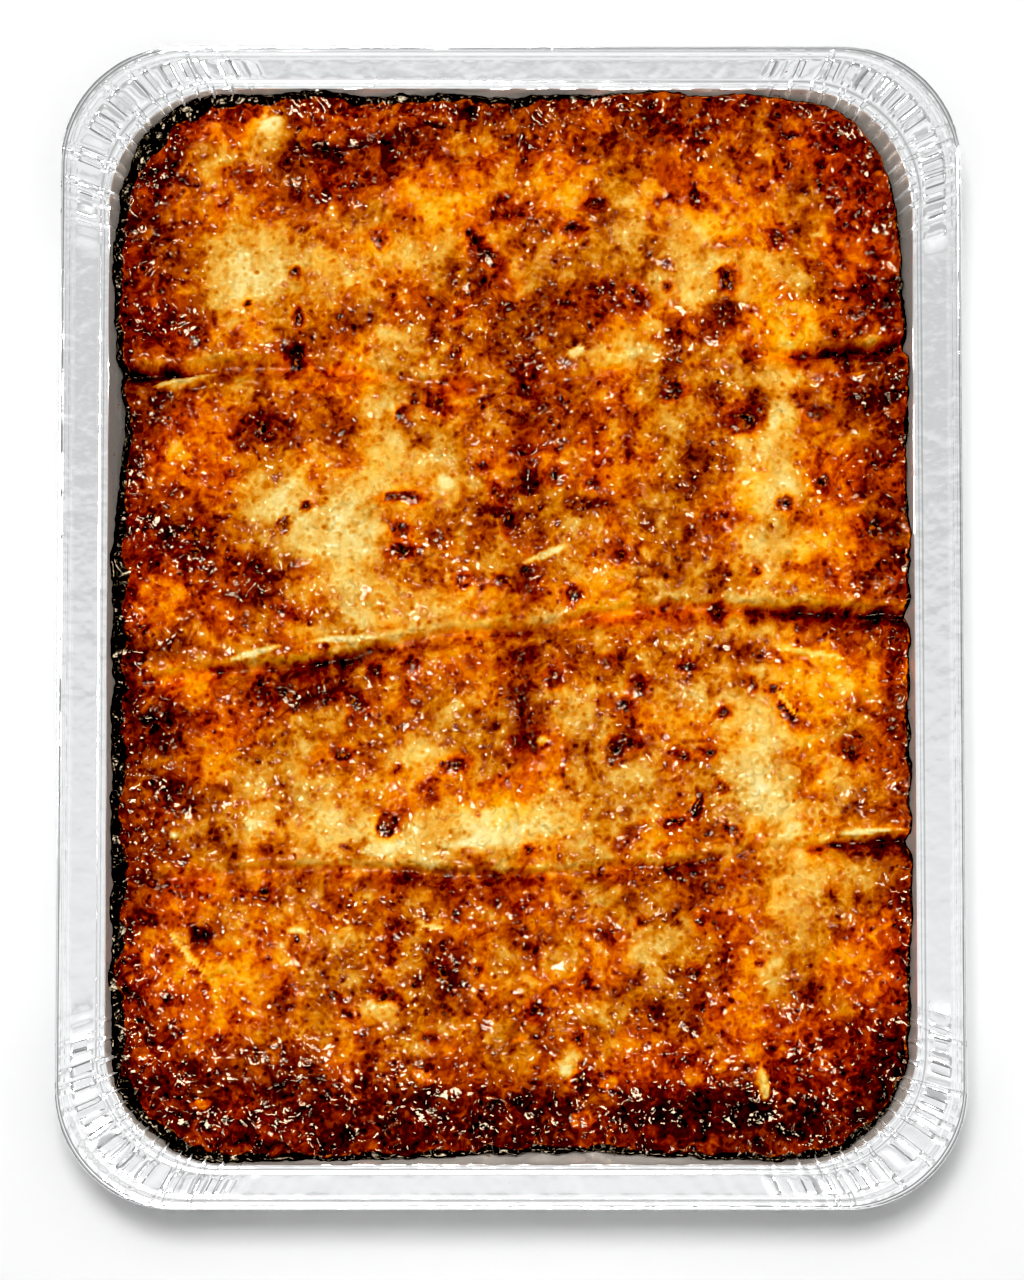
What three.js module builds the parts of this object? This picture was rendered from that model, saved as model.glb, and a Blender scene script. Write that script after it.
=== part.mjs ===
// A baked lasagne in its pressed foil tray. Millimetres, +Z up: the tray stands on z = 0, with X
// across it and Y along it.
import * as THREE from "three";

// ---------------------------------------------------------------- the tray's driving dimensions
const TRAY_LENGTH = 320;
const TRAY_WIDTH = 249;
const RIM_HEIGHT = 50; // the flange's flat land, above the surface that the tray stands on
const FOIL = 0.5;
const FLANGE_SIDE = 13.8; // flange width along the long sides
const FLANGE_END = 12.2; // and along the short ends
const CORNER_RADIUS = 33;
const BASE_CORNER_RADIUS = 24;
const WALL_TAPER = 0.25; // a wall leans out this much for each millimetre of height
const HEEL = 5; // radius where the wall turns into the base
const HEEL_OUT = 0.7 * HEEL; // how far out the middle of that bend is
const HEEL_UP = 0.28 * HEEL; // and how far up
const SHOULDER = 1.2; // height over which the wall bends into the flange
const ROLL_RADIUS = 1.2; // the curled outer edge
const ROLL_DROP = 0.4; // how far its middle is below the flange's land
const BEAD_HEIGHT = 0.4; // the pressed beads of the flange, above its land

const PLEATS = 16; // folds at each corner, where the flat foil had to be gathered
const PLEAT_RUN = 16; // how far the folds run past each end of a corner's arc
const PLEAT_DEPTH = 1.1; // how far a fold stands out of the wall
const PLEAT_RISE = 0.7; // how far a fold stands up from the flange
const BEAD_RISE = 0.3; // and from a bead
const HEEL_FOLD = 0.4; // how far a fold stands out of the heel
const ROLL_FOLD = 0.35; // and how far it draws the curled edge in
const SIDE_STEPS = 4; // stretches along a straight side, between two corners' folds

// The flange from the wall outwards: place, from 1 at the wall to 0 at the outer edge, height above
// the land, and how far a fold stands up there.
const FLANGE_RINGS = [
  [0.92, -0.1, PLEAT_RISE],
  [0.87, BEAD_HEIGHT, BEAD_RISE],
  [0.81, 0, PLEAT_RISE],
  [0.26, 0, PLEAT_RISE],
  [0.18, BEAD_HEIGHT, BEAD_RISE],
  [0.11, 0, PLEAT_RISE],
];
const SHOULDER_PLACE = 0.97; // the top of the wall's bend, at the same scale
const SHOULDER_RISE = 0.1;
const ROLL_STOPS = [60, 0, -90, -150]; // degrees round the curled edge

// ---------------------------------------------------------------- the food's driving dimensions
const CLEARANCE = 0.4; // between the food and the foil
const EDGE_LEVEL = 44.5; // the crust where it meets a long side
const WAIST_LEVEL = 36; // below this the food fills the tray right to the foil
const WAIST_INSET = 0.6; // how much further in it still is there
const END_CLIMB = 1; // how much higher it climbs up the two short ends
const END_REACH = 22; // how far in from the ends that climb starts
const DOME = 3.2; // how far each portion swells above the crust's edge
const DOME_REACH = 14; // and how far in from its edges it takes to swell
const SHOULDER_DROP = 0.4; // the rounded, charred outer edge falls by this much
const SHOULDER_REACH = 3.5;
const RAGGED = 0.8; // how uneven its outline is
const LUMP = 1.2; // height of the crust's broad lumps
const LUMP_SIZE = 13; // and their spacing
const CRAG = 0.9; // the same for the smaller crags between them
const CRAG_SIZE = 6;
const CRAG_BAND = 7; // within this distance of the foil they are up to twice as high
const CRAG_SHIFT = 40; // so that crags and lumps don't coincide
const OUTLINE_SHIFT = -30; // nor the outline's unevenness and the crags

// Where the baked crust has drawn back from the foil: across, along, reach, how far.
const GAPS = [
  [105, 125, 34, 3.4], [-108, 57, 17, 3.2], [15, -146, 42, 2.4], [0, 146, 28, 0.8],
  [-104, 128, 22, 1.4], [100, -132, 22, 1.2],
];

// The creases between the pasta sheets, each from one wall to the other: across, along, depth.
const CREASES = [
  [[-110, 70, 3.4], [-60, 71, 2.2], [-6, 65, 1.8], [50, 73, 1], [84, 75, 2.1], [110, 77, 3.5]],
  [[-110, -17, 1.8], [-70, -13, 3.2], [-6, -2.5, 3], [46, 4, 3.2], [110, 2.5, 3.7]],
  [[-110, -71, 0.8], [-55, -68, 2.4], [2, -70, 2.9], [40, -67, 1.8], [74, -63, 1], [110, -60, 3.5]],
];
// The crease down the middle, from the far end to the near one: along, across, depth.
const MIDDLE_CREASE = [
  [-146, 3.5, 0.6], [-70, 2.5, 1.2], [-32, 5.3, 2.2], [-6, 2.5, 2.4], [22, 5, 2.4], [50, 4.5, 1.7],
  [146, 1, 0.7],
];
const CREASE_WIDTH = 2.4; // half the width of a crease's mouth
const MIDDLE_WIDTH = 3.6;
const FULL_CREASE = 4; // a crease this deep has the whole lip and curl
const LIP = 1.25; // the upper sheet's edge swells by this much beside its crease
const LIP_REACH = 6; // this far from it
const LIP_WIDTH = 4;
const CURL = 1.6; // and the lower sheet's edge curls up just below it
const CURL_REACH = 5.5;
const CURL_WIDTH = 3;
const PORTION_LENGTH = 70; // from one crease to the next

const BAND_STEPS = 12; // rows of facets along one portion
const HALF_STEPS = 17; // and across it

// ---------------------------------------------------------------- rings round the tray
const wallTop = { halfX: TRAY_WIDTH / 2 - FLANGE_SIDE, halfY: TRAY_LENGTH / 2 - FLANGE_END };

// The foil's inner face at a height: a rounded rectangle that narrows towards the base.
function wallOutline(z) {
  const fall = RIM_HEIGHT - z;
  return {
    halfX: wallTop.halfX - fall * WALL_TAPER,
    halfY: wallTop.halfY - fall * WALL_TAPER,
    radius: CORNER_RADIUS - (fall / RIM_HEIGHT) * (CORNER_RADIUS - BASE_CORNER_RADIUS),
  };
}

function grown(outline, by) {
  return {
    halfX: outline.halfX + by,
    halfY: outline.halfY + by,
    radius: Math.max(outline.radius + by, 1),
  };
}

// A rounded rectangle on the flange; across runs from 0 at the outer edge to 1 at the wall.
function flangeOutline(across) {
  return {
    halfX: TRAY_WIDTH / 2 - across * FLANGE_SIDE,
    halfY: TRAY_LENGTH / 2 - across * FLANGE_END,
    radius: CORNER_RADIUS,
  };
}

// A point of the corner at +X +Y and the direction out of it, for a share of the folded stretch.
function firstCorner(outline, share) {
  const arc = (Math.PI / 2) * CORNER_RADIUS;
  const travelled = share * (arc + 2 * PLEAT_RUN) - PLEAT_RUN;
  const angle = THREE.MathUtils.clamp(travelled / arc, 0, 1) * (Math.PI / 2);
  const before = Math.min(travelled, 0);
  const after = Math.max(travelled - arc, 0);
  const out = new THREE.Vector2(Math.cos(angle), Math.sin(angle));
  return {
    x: outline.halfX - outline.radius * (1 - out.x) - after,
    y: outline.halfY - outline.radius * (1 - out.y) + before,
    out,
  };
}

// The same at any of the four corners, counted anticlockwise from +X +Y.
function cornerPoint(outline, corner, share) {
  const mirrored = corner % 2 === 1;
  const signX = corner === 1 || corner === 2 ? -1 : 1;
  const signY = corner >= 2 ? -1 : 1;
  const { x, y, out } = firstCorner(outline, mirrored ? 1 - share : share);
  return { x: x * signX, y: y * signY, out: new THREE.Vector2(out.x * signX, out.y * signY) };
}

// Every ring has the same stations: the folds of the four corners and a few along each side.
function ringStations() {
  const stations = [];
  for (let corner = 0; corner < 4; corner++) {
    for (let fold = 0; fold <= 2 * PLEATS; fold++) {
      const share = fold / (2 * PLEATS);
      const fade = Math.min(1, 6 * Math.min(share, 1 - share));
      stations.push({ corner, share, fold: (fold % 2) * fade });
    }
    for (let step = 1; step < SIDE_STEPS; step++) {
      stations.push({ corner, side: step / SIDE_STEPS, fold: 0 });
    }
  }
  return stations;
}

// One ring of points; push moves its folds outwards and rise moves them up.
function ring(outline, z, push = 0, rise = 0) {
  return ringStations().map(({ corner, share, side, fold }) => {
    if (side === undefined) {
      const { x, y, out } = cornerPoint(outline, corner, share);
      return new THREE.Vector3(x + out.x * push * fold, y + out.y * push * fold, z + rise * fold);
    }
    const from = cornerPoint(outline, corner, 1);
    const to = cornerPoint(outline, (corner + 1) % 4, 0);
    return new THREE.Vector3(
      THREE.MathUtils.lerp(from.x, to.x, side),
      THREE.MathUtils.lerp(from.y, to.y, side),
      z,
    );
  });
}

// A closed body from rings that run from one pole to the other.
function bodyFromRings(firstPole, rings, lastPole) {
  const around = rings[0].length;
  const points = [firstPole, ...rings.flat(), lastPole];
  const last = points.length - 1;
  const faces = [];
  const at = (row, station) => 1 + row * around + (station % around);
  for (let i = 0; i < around; i++) {
    faces.push(0, at(0, i), at(0, i + 1));
    for (let row = 0; row < rings.length - 1; row++) {
      faces.push(at(row, i), at(row + 1, i), at(row + 1, i + 1));
      faces.push(at(row, i), at(row + 1, i + 1), at(row, i + 1));
    }
    faces.push(last, at(rings.length - 1, i + 1), at(rings.length - 1, i));
  }
  return geometryOf(points, faces);
}

function geometryOf(points, faces) {
  const geometry = new THREE.BufferGeometry().setFromPoints(points);
  geometry.setIndex(faces);
  geometry.computeVertexNormals();
  return geometry;
}

// ---------------------------------------------------------------- the foil tray
function trayGeometry() {
  const base = grown(wallOutline(0), -HEEL);
  const land = RIM_HEIGHT;
  const middle = 0.55 * land;
  const rollAt = (degrees) => {
    const angle = THREE.MathUtils.degToRad(degrees);
    const across = (ROLL_RADIUS * (1 - Math.cos(angle))) / FLANGE_SIDE;
    const z = land - ROLL_DROP + ROLL_RADIUS * Math.sin(angle);
    return ring(flangeOutline(across), z, -ROLL_FOLD);
  };
  const inside = [
    ring(grown(base, -0.2), FOIL),
    ring(grown(base, HEEL_OUT), FOIL + HEEL_UP, HEEL_FOLD),
    ring(wallOutline(FOIL + HEEL), FOIL + HEEL, PLEAT_DEPTH),
    ring(wallOutline(middle), middle, PLEAT_DEPTH),
    ring(wallOutline(land - SHOULDER), land - SHOULDER, PLEAT_DEPTH),
  ];
  const flangeTop = [
    ring(flangeOutline(SHOULDER_PLACE), land + SHOULDER_RISE, 0.3, 0.4),
    ...FLANGE_RINGS.map(([place, above, rise]) => ring(flangeOutline(place), land + above, 0, rise)),
  ];
  const roll = ROLL_STOPS.map(rollAt);
  const flangeUnder = [
    ring(flangeOutline(0.3), land - FOIL, 0, PLEAT_RISE),
    ring(flangeOutline(0.92), land - FOIL, 0, PLEAT_RISE),
  ];
  const outside = [
    ring(grown(wallOutline(land - 1.5 * SHOULDER), FOIL), land - 1.5 * SHOULDER, PLEAT_DEPTH),
    ring(grown(wallOutline(middle), FOIL), middle, PLEAT_DEPTH),
    ring(grown(wallOutline(HEEL), FOIL), HEEL, PLEAT_DEPTH),
    ring(grown(base, HEEL_OUT + HEEL_FOLD), 0.25 * HEEL, HEEL_FOLD),
    ring(base, 0),
  ];
  return bodyFromRings(
    new THREE.Vector3(0, 0, FOIL),
    [...inside, ...flangeTop, ...roll, ...flangeUnder, ...outside],
    new THREE.Vector3(0, 0, 0),
  );
}

// ---------------------------------------------------------------- the crust's relief
// A value between 0 and 1 that is fixed for each whole pair of numbers.
function chance(i, j) {
  const wave = Math.sin(i * 127.1 + j * 311.7) * 43758.5453;
  return wave - Math.floor(wave);
}

// Smooth, uneven swellings between -1 and 1.
function lumps(x, y) {
  const i = Math.floor(x);
  const j = Math.floor(y);
  const across = THREE.MathUtils.smoothstep(x - i, 0, 1);
  const along = THREE.MathUtils.smoothstep(y - j, 0, 1);
  const near = THREE.MathUtils.lerp(chance(i, j), chance(i + 1, j), across);
  const far = THREE.MathUtils.lerp(chance(i, j + 1), chance(i + 1, j + 1), across);
  return 2 * THREE.MathUtils.lerp(near, far, along) - 1;
}

// The other values of a list of rows at a place between its first values, eased from row to row.
function eased(rows, place) {
  const inside = THREE.MathUtils.clamp(place, rows[0][0], rows[rows.length - 1][0]);
  const next = Math.max(1, rows.findIndex((row) => row[0] >= inside));
  const [from, to] = [rows[next - 1], rows[next]];
  const share = THREE.MathUtils.smoothstep(inside, from[0], to[0]);
  return [1, 2].map((k) => THREE.MathUtils.lerp(from[k], to[k], share));
}

// How far in from the foil's inner face a place is.
function distanceIn(outline, x, y) {
  const beyondX = Math.max(Math.abs(x) - (outline.halfX - outline.radius), 0);
  const beyondY = Math.max(Math.abs(y) - (outline.halfY - outline.radius), 0);
  const corner = outline.radius - Math.hypot(beyondX, beyondY);
  return Math.min(outline.halfX - Math.abs(x), outline.halfY - Math.abs(y), corner);
}

// The bottom of a bell-shaped groove or the top of such a ridge.
const bell = (distance, width) => Math.exp(-((distance / width) ** 2));

function creaseRelief(x, y) {
  const [middle, middleDepth] = eased(MIDDLE_CREASE, y);
  let relief = -middleDepth * bell(x - middle, MIDDLE_WIDTH);
  CREASES.forEach((crease) => {
    const [along, depth] = eased(crease, x);
    const above = y - along;
    relief -= depth * bell(above, CREASE_WIDTH);
    relief += LIP * (depth / FULL_CREASE) * bell(above - LIP_REACH, LIP_WIDTH);
    relief += CURL * (depth / FULL_CREASE) * bell(above + CURL_REACH, CURL_WIDTH);
  });
  return relief;
}

// How far each portion swells, falling away towards the creases and the walls round it.
function domeRelief(x, y, edge) {
  const [middle] = eased(MIDDLE_CREASE, y);
  let away = Math.min(Math.abs(x - middle), edge);
  CREASES.forEach((crease) => {
    away = Math.min(away, Math.abs(y - eased(crease, x)[0]));
  });
  return DOME * (1 - Math.exp(-away / DOME_REACH));
}

function crustHeight(x, y) {
  const edge = Math.max(distanceIn(wallOutline(EDGE_LEVEL), x, y), 0);
  const end = (wallTop.halfY - Math.abs(y)) / END_REACH;
  const climb = END_CLIMB * (1 - THREE.MathUtils.smoothstep(end, 0, 1));
  const lump = LUMP * lumps(x / LUMP_SIZE, y / LUMP_SIZE);
  const crag = CRAG * (1 + bell(edge, CRAG_BAND));
  const rough = lump + crag * lumps(x / CRAG_SIZE + CRAG_SHIFT, y / CRAG_SIZE);
  return (
    EDGE_LEVEL + climb + domeRelief(x, y, edge) + creaseRelief(x, y) + rough
    - SHOULDER_DROP * bell(edge, SHOULDER_REACH)
  );
}

// ---------------------------------------------------------------- the lasagne
// How far in from the foil the crust's outline is.
function crustInset(x, y) {
  const ragged = RAGGED * (0.5 + 0.5 * lumps(x / CRAG_SIZE, y / CRAG_SIZE + OUTLINE_SHIFT));
  return GAPS.reduce(
    (inset, [across, along, reach, depth]) =>
      inset + depth * bell(Math.hypot(x - across, y - along), reach),
    CLEARANCE + ragged,
  );
}

// Fits a square grid's place, each share from -1 to 1, into a rounded rectangle.
function intoOutline({ halfX, halfY, radius }, shareX, shareY) {
  const overX = Math.max(Math.abs(shareX) * halfX - (halfX - radius), 0) / radius;
  const overY = Math.max(Math.abs(shareY) * halfY - (halfY - radius), 0) / radius;
  const x = Math.abs(shareX) * halfX - radius * overX * (1 - Math.sqrt(1 - overY ** 2 / 2));
  const y = Math.abs(shareY) * halfY - radius * overY * (1 - Math.sqrt(1 - overX ** 2 / 2));
  return [Math.sign(shareX) * x, Math.sign(shareY) * y];
}

// Shares of a stretch with a narrow step at either end, where a crease's mouth is.
function steppedShares(length, mouths, steps) {
  const [first, last] = mouths.map((mouth) => mouth / length);
  const shares = [0];
  for (let step = 0; step <= steps - 2; step++) {
    shares.push(THREE.MathUtils.lerp(first, 1 - last, step / (steps - 2)));
  }
  shares.push(1);
  return shares;
}

// The grid's columns and rows as shares from -1 to 1, with a line along every crease.
function gridShares(outline) {
  const column = steppedShares(outline.halfX, [SHOULDER_REACH, MIDDLE_WIDTH], HALF_STEPS);
  const columns = [...column.map((s) => s - 1), ...column.slice(1)].map((s, i) =>
    i <= HALF_STEPS ? s : 1 - column[2 * HALF_STEPS - i],
  );
  const rows = [];
  for (let band = 0; band < 4; band++) {
    const shares = steppedShares(PORTION_LENGTH, [CREASE_WIDTH, CREASE_WIDTH], BAND_STEPS);
    rows.push(...shares.slice(band ? 1 : 0).map((share) => ({ band, share })));
  }
  return { columns, rows };
}

function crustPoint(outline, shareX, { band, share }) {
  const lines = [
    -outline.halfY,
    ...CREASES.map((crease) => eased(crease, shareX * outline.halfX)[0]).reverse(),
    outline.halfY,
  ];
  const shareY = THREE.MathUtils.lerp(lines[band], lines[band + 1], share) / outline.halfY;
  const middle = eased(MIDDLE_CREASE, shareY * outline.halfY)[0] * (1 - Math.abs(shareX));
  const [x, y] = intoOutline(outline, shareX + middle / outline.halfX, shareY);
  return { x, y, shareX: shareX + middle / outline.halfX, shareY };
}

function lasagneGeometry() {
  const top = wallOutline(EDGE_LEVEL);
  const { columns, rows } = gridShares(top);
  const points = [];
  const rimPlaces = new Map();
  rows.forEach((row, j) => {
    columns.forEach((column, i) => {
      const { x, y, shareX, shareY } = crustPoint(top, column, row);
      const z = crustHeight(x, y);
      const inset = crustInset(x, y) - (z - EDGE_LEVEL) * WALL_TAPER;
      points.push(new THREE.Vector3(...intoOutline(grown(top, -inset), shareX, shareY), z));
      const onRim = j === 0 || i === 0 || j === rows.length - 1 || i === columns.length - 1;
      if (onRim) rimPlaces.set(j * columns.length + i, [shareX, shareY]);
    });
  });

  const faces = [];
  const at = (j, i) => j * columns.length + i;
  for (let j = 0; j < rows.length - 1; j++) {
    for (let i = 0; i < columns.length - 1; i++) {
      faces.push(at(j, i), at(j, i + 1), at(j + 1, i + 1));
      faces.push(at(j, i), at(j + 1, i + 1), at(j + 1, i));
    }
  }

  // The rim anticlockwise, then rings of the same count down the foil's inner face.
  const right = columns.length - 1;
  const far = rows.length - 1;
  const rim = [
    ...columns.map((_, i) => at(0, i)).slice(0, right),
    ...rows.map((_, j) => at(j, right)).slice(0, far),
    ...columns.map((_, i) => at(far, i)).slice(1).reverse(),
    ...rows.map((_, j) => at(j, 0)).slice(1).reverse(),
  ];
  const bottom = FOIL + CLEARANCE;
  const levels = [
    { outline: grown(wallOutline(WAIST_LEVEL), -CLEARANCE - WAIST_INSET), z: WAIST_LEVEL },
    { outline: grown(wallOutline(HEEL + 1), -CLEARANCE), z: HEEL + 1 },
    { outline: grown(wallOutline(bottom), -CLEARANCE - HEEL), z: bottom },
  ];
  let upper = rim;
  levels.forEach(({ outline, z }) => {
    const lower = rim.map((place) => {
      const [x, y] = intoOutline(outline, ...rimPlaces.get(place));
      return points.push(new THREE.Vector3(x, y, z)) - 1;
    });
    rim.forEach((_, i) => {
      const next = (i + 1) % rim.length;
      faces.push(upper[i], lower[i], lower[next], upper[i], lower[next], upper[next]);
    });
    upper = lower;
  });
  const centre = points.push(new THREE.Vector3(0, 0, bottom)) - 1;
  upper.forEach((place, i) => faces.push(centre, upper[(i + 1) % upper.length], place));
  return geometryOf(points, faces);
}

// ---------------------------------------------------------------- materials and the object
const foil = new THREE.MeshStandardMaterial({ color: 0xdcdedd, roughness: 0.3, metalness: 1 });
const crust = new THREE.MeshStandardMaterial({ color: 0xb45e1f, roughness: 0.35, metalness: 0 });

function part(name, geometry, material) {
  const mesh = new THREE.Mesh(geometry, material);
  mesh.name = name;
  return mesh;
}

const trayMeal = new THREE.Group();
trayMeal.add(part("foil_tray", trayGeometry(), foil));
trayMeal.add(part("lasagne", lasagneGeometry(), crust));

export default trayMeal;
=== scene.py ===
import math

import bpy
import numpy as np
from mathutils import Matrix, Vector


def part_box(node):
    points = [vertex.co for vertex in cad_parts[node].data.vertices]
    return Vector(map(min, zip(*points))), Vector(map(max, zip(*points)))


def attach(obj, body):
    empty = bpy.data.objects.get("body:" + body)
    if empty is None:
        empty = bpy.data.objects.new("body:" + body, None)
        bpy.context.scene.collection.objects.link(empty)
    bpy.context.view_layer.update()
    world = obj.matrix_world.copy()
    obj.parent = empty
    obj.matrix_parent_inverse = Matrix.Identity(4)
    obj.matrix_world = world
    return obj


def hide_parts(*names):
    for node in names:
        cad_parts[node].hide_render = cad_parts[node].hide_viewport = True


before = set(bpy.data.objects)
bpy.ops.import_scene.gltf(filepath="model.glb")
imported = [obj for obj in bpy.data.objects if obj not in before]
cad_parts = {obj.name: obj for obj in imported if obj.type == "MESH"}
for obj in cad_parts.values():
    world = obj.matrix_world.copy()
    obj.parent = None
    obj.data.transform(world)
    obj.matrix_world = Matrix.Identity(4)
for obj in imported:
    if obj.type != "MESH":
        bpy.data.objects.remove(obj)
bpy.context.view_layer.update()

# The shape functions below work in millimetres, as the solids' source does, and the meshes are in
# metres. X runs across the tray, Y along it and Z up.
MM = 0.001

# ---- the tray's sizes
tray_low, tray_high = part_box("foil_tray")
TRAY_WIDTH = round((tray_high.x - tray_low.x) / MM, 1)
TRAY_LENGTH = round((tray_high.y - tray_low.y) / MM, 1)
HALF_X, HALF_Y = TRAY_WIDTH / 2, TRAY_LENGTH / 2
RIM_HEIGHT = 50.0
FOIL = 0.35
FLANGE_SIDE = 13.8
FLANGE_END = 12.2
CORNER_RADIUS = 33.0
BASE_CORNER_RADIUS = 24.0
WALL_TAPER = 0.25
HEEL = 5.0
PLEATS = 16
PLEAT_RUN = 16.0

# ---- the food's sizes
CLEARANCE = 0.4
EDGE_LEVEL = 44.5
WAIST_LEVEL = 36.0
END_CLIMB = 1.0
END_REACH = 22.0
DOME = 3.2
DOME_REACH = 14.0
SHOULDER_DROP = 0.4
SHOULDER_REACH = 3.5
RAGGED = 0.8
LUMP, LUMP_SIZE = 1.2, 13.0
CRAG, CRAG_SIZE = 0.9, 6.0
CREASE_WIDTH = 2.4
MIDDLE_WIDTH = 3.6
FULL_CREASE = 4.0
LIP, LIP_REACH, LIP_WIDTH = 1.25, 6.0, 4.0
CURL, CURL_REACH, CURL_WIDTH = 1.6, 5.5, 3.0
CRAG_BAND = 7.0
CRAG_SHIFT = 40
OUTLINE_SHIFT = -30

# Where the baked crust has drawn back from the foil: across, along, reach, how far.
GAPS = [
    (105, 125, 34, 3.4), (-108, 57, 17, 3.2), (15, -146, 42, 2.4), (0, 146, 28, 0.8),
    (-104, 128, 22, 1.4), (100, -132, 22, 1.2),
]

# The creases between the pasta sheets, each from one wall to the other: across, along, depth.
CREASES = [
    [
        (-110, 70, 3.4), (-60, 71, 2.2), (-6, 65, 1.8), (50, 73, 1), (84, 75, 2.1), (110, 77, 3.5),
    ],
    [(-110, -17, 1.8), (-70, -13, 3.2), (-6, -2.5, 3), (46, 4, 3.2), (110, 2.5, 3.7)],
    [
        (-110, -71, 0.8), (-55, -68, 2.4), (2, -70, 2.9), (40, -67, 1.8), (74, -63, 1),
        (110, -60, 3.5),
    ],
]
# The crease down the middle, from the near end to the far one: along, across, depth.
MIDDLE_CREASE = [
    (-146, 3.5, 0.6), (-70, 2.5, 1.2), (-32, 5.3, 2.2), (-6, 2.5, 2.4), (22, 5, 2.4),
    (50, 4.5, 1.7), (146, 1, 0.7),
]

# Where each crease has opened into a fissure: from, to, how far.
FISSURES = [
    [(-106, -90, 0.9), (80, 106, 1)],
    [(-56, -34, 0.7), (66, 108, 0.8), (-4, 12, 0.4)],
    [(86, 107, 1), (46, 56, 0.5)],
]

CRUST_COLUMNS = 262
CRUST_ROWS = 350

# How dark the cheese is, from 0 for pale to 1 for black.
PALE, PLAIN, FLAKY, SCORCHED = 0.02, 0.5, 0.4, 0.82
# How far the browning and the fine relief wander, in two sizes: reach and size.
WANDER, SHORT_WANDER = (2.6, 11), (0.8, 3.2)


# ---- helpers for shapes
def smoothstep(value, low, high):
    share = np.clip((value - low) / (high - low), 0, 1)
    return share * share * (3 - 2 * share)


def bell(distance, width):
    return np.exp(-((distance / width) ** 2))


def chance(i, j):
    wave = np.sin(i * 127.1 + j * 311.7) * 43758.5453
    return wave - np.floor(wave)


def lumps(x, y):
    """The solid's own uneven swellings, between -1 and 1."""
    i, j = np.floor(x), np.floor(y)
    across, along = smoothstep(x - i, 0, 1), smoothstep(y - j, 0, 1)
    near = chance(i, j) + (chance(i + 1, j) - chance(i, j)) * across
    far = chance(i, j + 1) + (chance(i + 1, j + 1) - chance(i, j + 1)) * across
    return 2 * (near + (far - near) * along) - 1


class Noise:
    """Smooth gradient noise between about -1 and 1, one swell to each unit."""

    SIZE = 256

    def __init__(self, seed):
        turn = np.random.default_rng(seed).random((self.SIZE, self.SIZE)) * 2 * np.pi
        self.slope = np.cos(turn), np.sin(turn)

    def __call__(self, x, y):
        i, j = np.floor(x).astype(int), np.floor(y).astype(int)
        fx, fy = x - i, y - j

        def corner(di, dj):
            place = (i + di) % self.SIZE, (j + dj) % self.SIZE
            return self.slope[0][place] * (fx - di) + self.slope[1][place] * (fy - dj)

        u, v = smoothstep(fx, 0, 1), smoothstep(fy, 0, 1)
        near = corner(0, 0) + (corner(1, 0) - corner(0, 0)) * u
        far = corner(0, 1) + (corner(1, 1) - corner(0, 1)) * u
        return 1.5 * (near + (far - near) * v)

    def rough(self, x, y, size, octaves=3):
        total = 0
        for octave in range(octaves):
            step = size / 2**octave
            total = total + self(x / step + 17.3 * octave, y / step - 9.1 * octave) / 2**octave
        return total


def cells(x, y, size, seed):
    """Scattered centres about a size apart: the distance to the nearest one, and three chances
    between 0 and 1 that belong to it."""
    count = 256
    table = np.random.default_rng(seed).random((5, count, count))
    i, j = np.floor(x / size).astype(int), np.floor(y / size).astype(int)
    nearest = np.full(x.shape, 1e9)
    own = [np.zeros(x.shape) for _ in range(3)]
    for di in (-1, 0, 1):
        for dj in (-1, 0, 1):
            place = (i + di) % count, (j + dj) % count
            centre_x = (i + di + table[0][place]) * size
            centre_y = (j + dj + table[1][place]) * size
            distance = np.hypot(x - centre_x, y - centre_y)
            closer = distance < nearest
            nearest = np.where(closer, distance, nearest)
            own = [np.where(closer, table[2 + k][place], value) for k, value in enumerate(own)]
    return nearest, own


def eased(rows, place):
    """The other two values of a list of rows at places between its first values."""
    table = np.array(rows, float)
    inside = np.clip(place, table[0, 0], table[-1, 0])
    after = np.clip(np.searchsorted(table[:, 0], inside), 1, len(table) - 1)
    before, beyond = table.T[:, after - 1], table.T[:, after]
    share = smoothstep((inside - before[0]) / (beyond[0] - before[0]), 0, 1)
    return [before[k] + (beyond[k] - before[k]) * share for k in (1, 2)]


def mesh_object(name, points, faces, values=None):
    """A mesh from points in metres and a list of arrays of faces, each array all triangles or all
    quads, with named numbers at its points."""
    groups = [np.asarray(group, np.int32) for group in faces]
    mesh = bpy.data.meshes.new(name)
    mesh.vertices.add(len(points))
    mesh.vertices.foreach_set("co", np.asarray(points, np.float32).ravel())
    mesh.loops.add(sum(group.size for group in groups))
    mesh.loops.foreach_set("vertex_index", np.concatenate([group.ravel() for group in groups]))
    sizes = np.concatenate([np.full(len(group), group.shape[1]) for group in groups])
    mesh.polygons.add(len(sizes))
    starts = np.concatenate([[0], np.cumsum(sizes)[:-1]])
    mesh.polygons.foreach_set("loop_start", starts.astype(np.int32))
    mesh.update(calc_edges=True)
    mesh.validate()
    mesh.shade_smooth()
    for key, numbers in (values or {}).items():
        layer = mesh.attributes.new(key, "FLOAT", "POINT")
        layer.data.foreach_set("value", np.asarray(numbers, np.float32).ravel())
    made = bpy.data.objects.new(name, mesh)
    bpy.context.scene.collection.objects.link(made)
    return made


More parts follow.
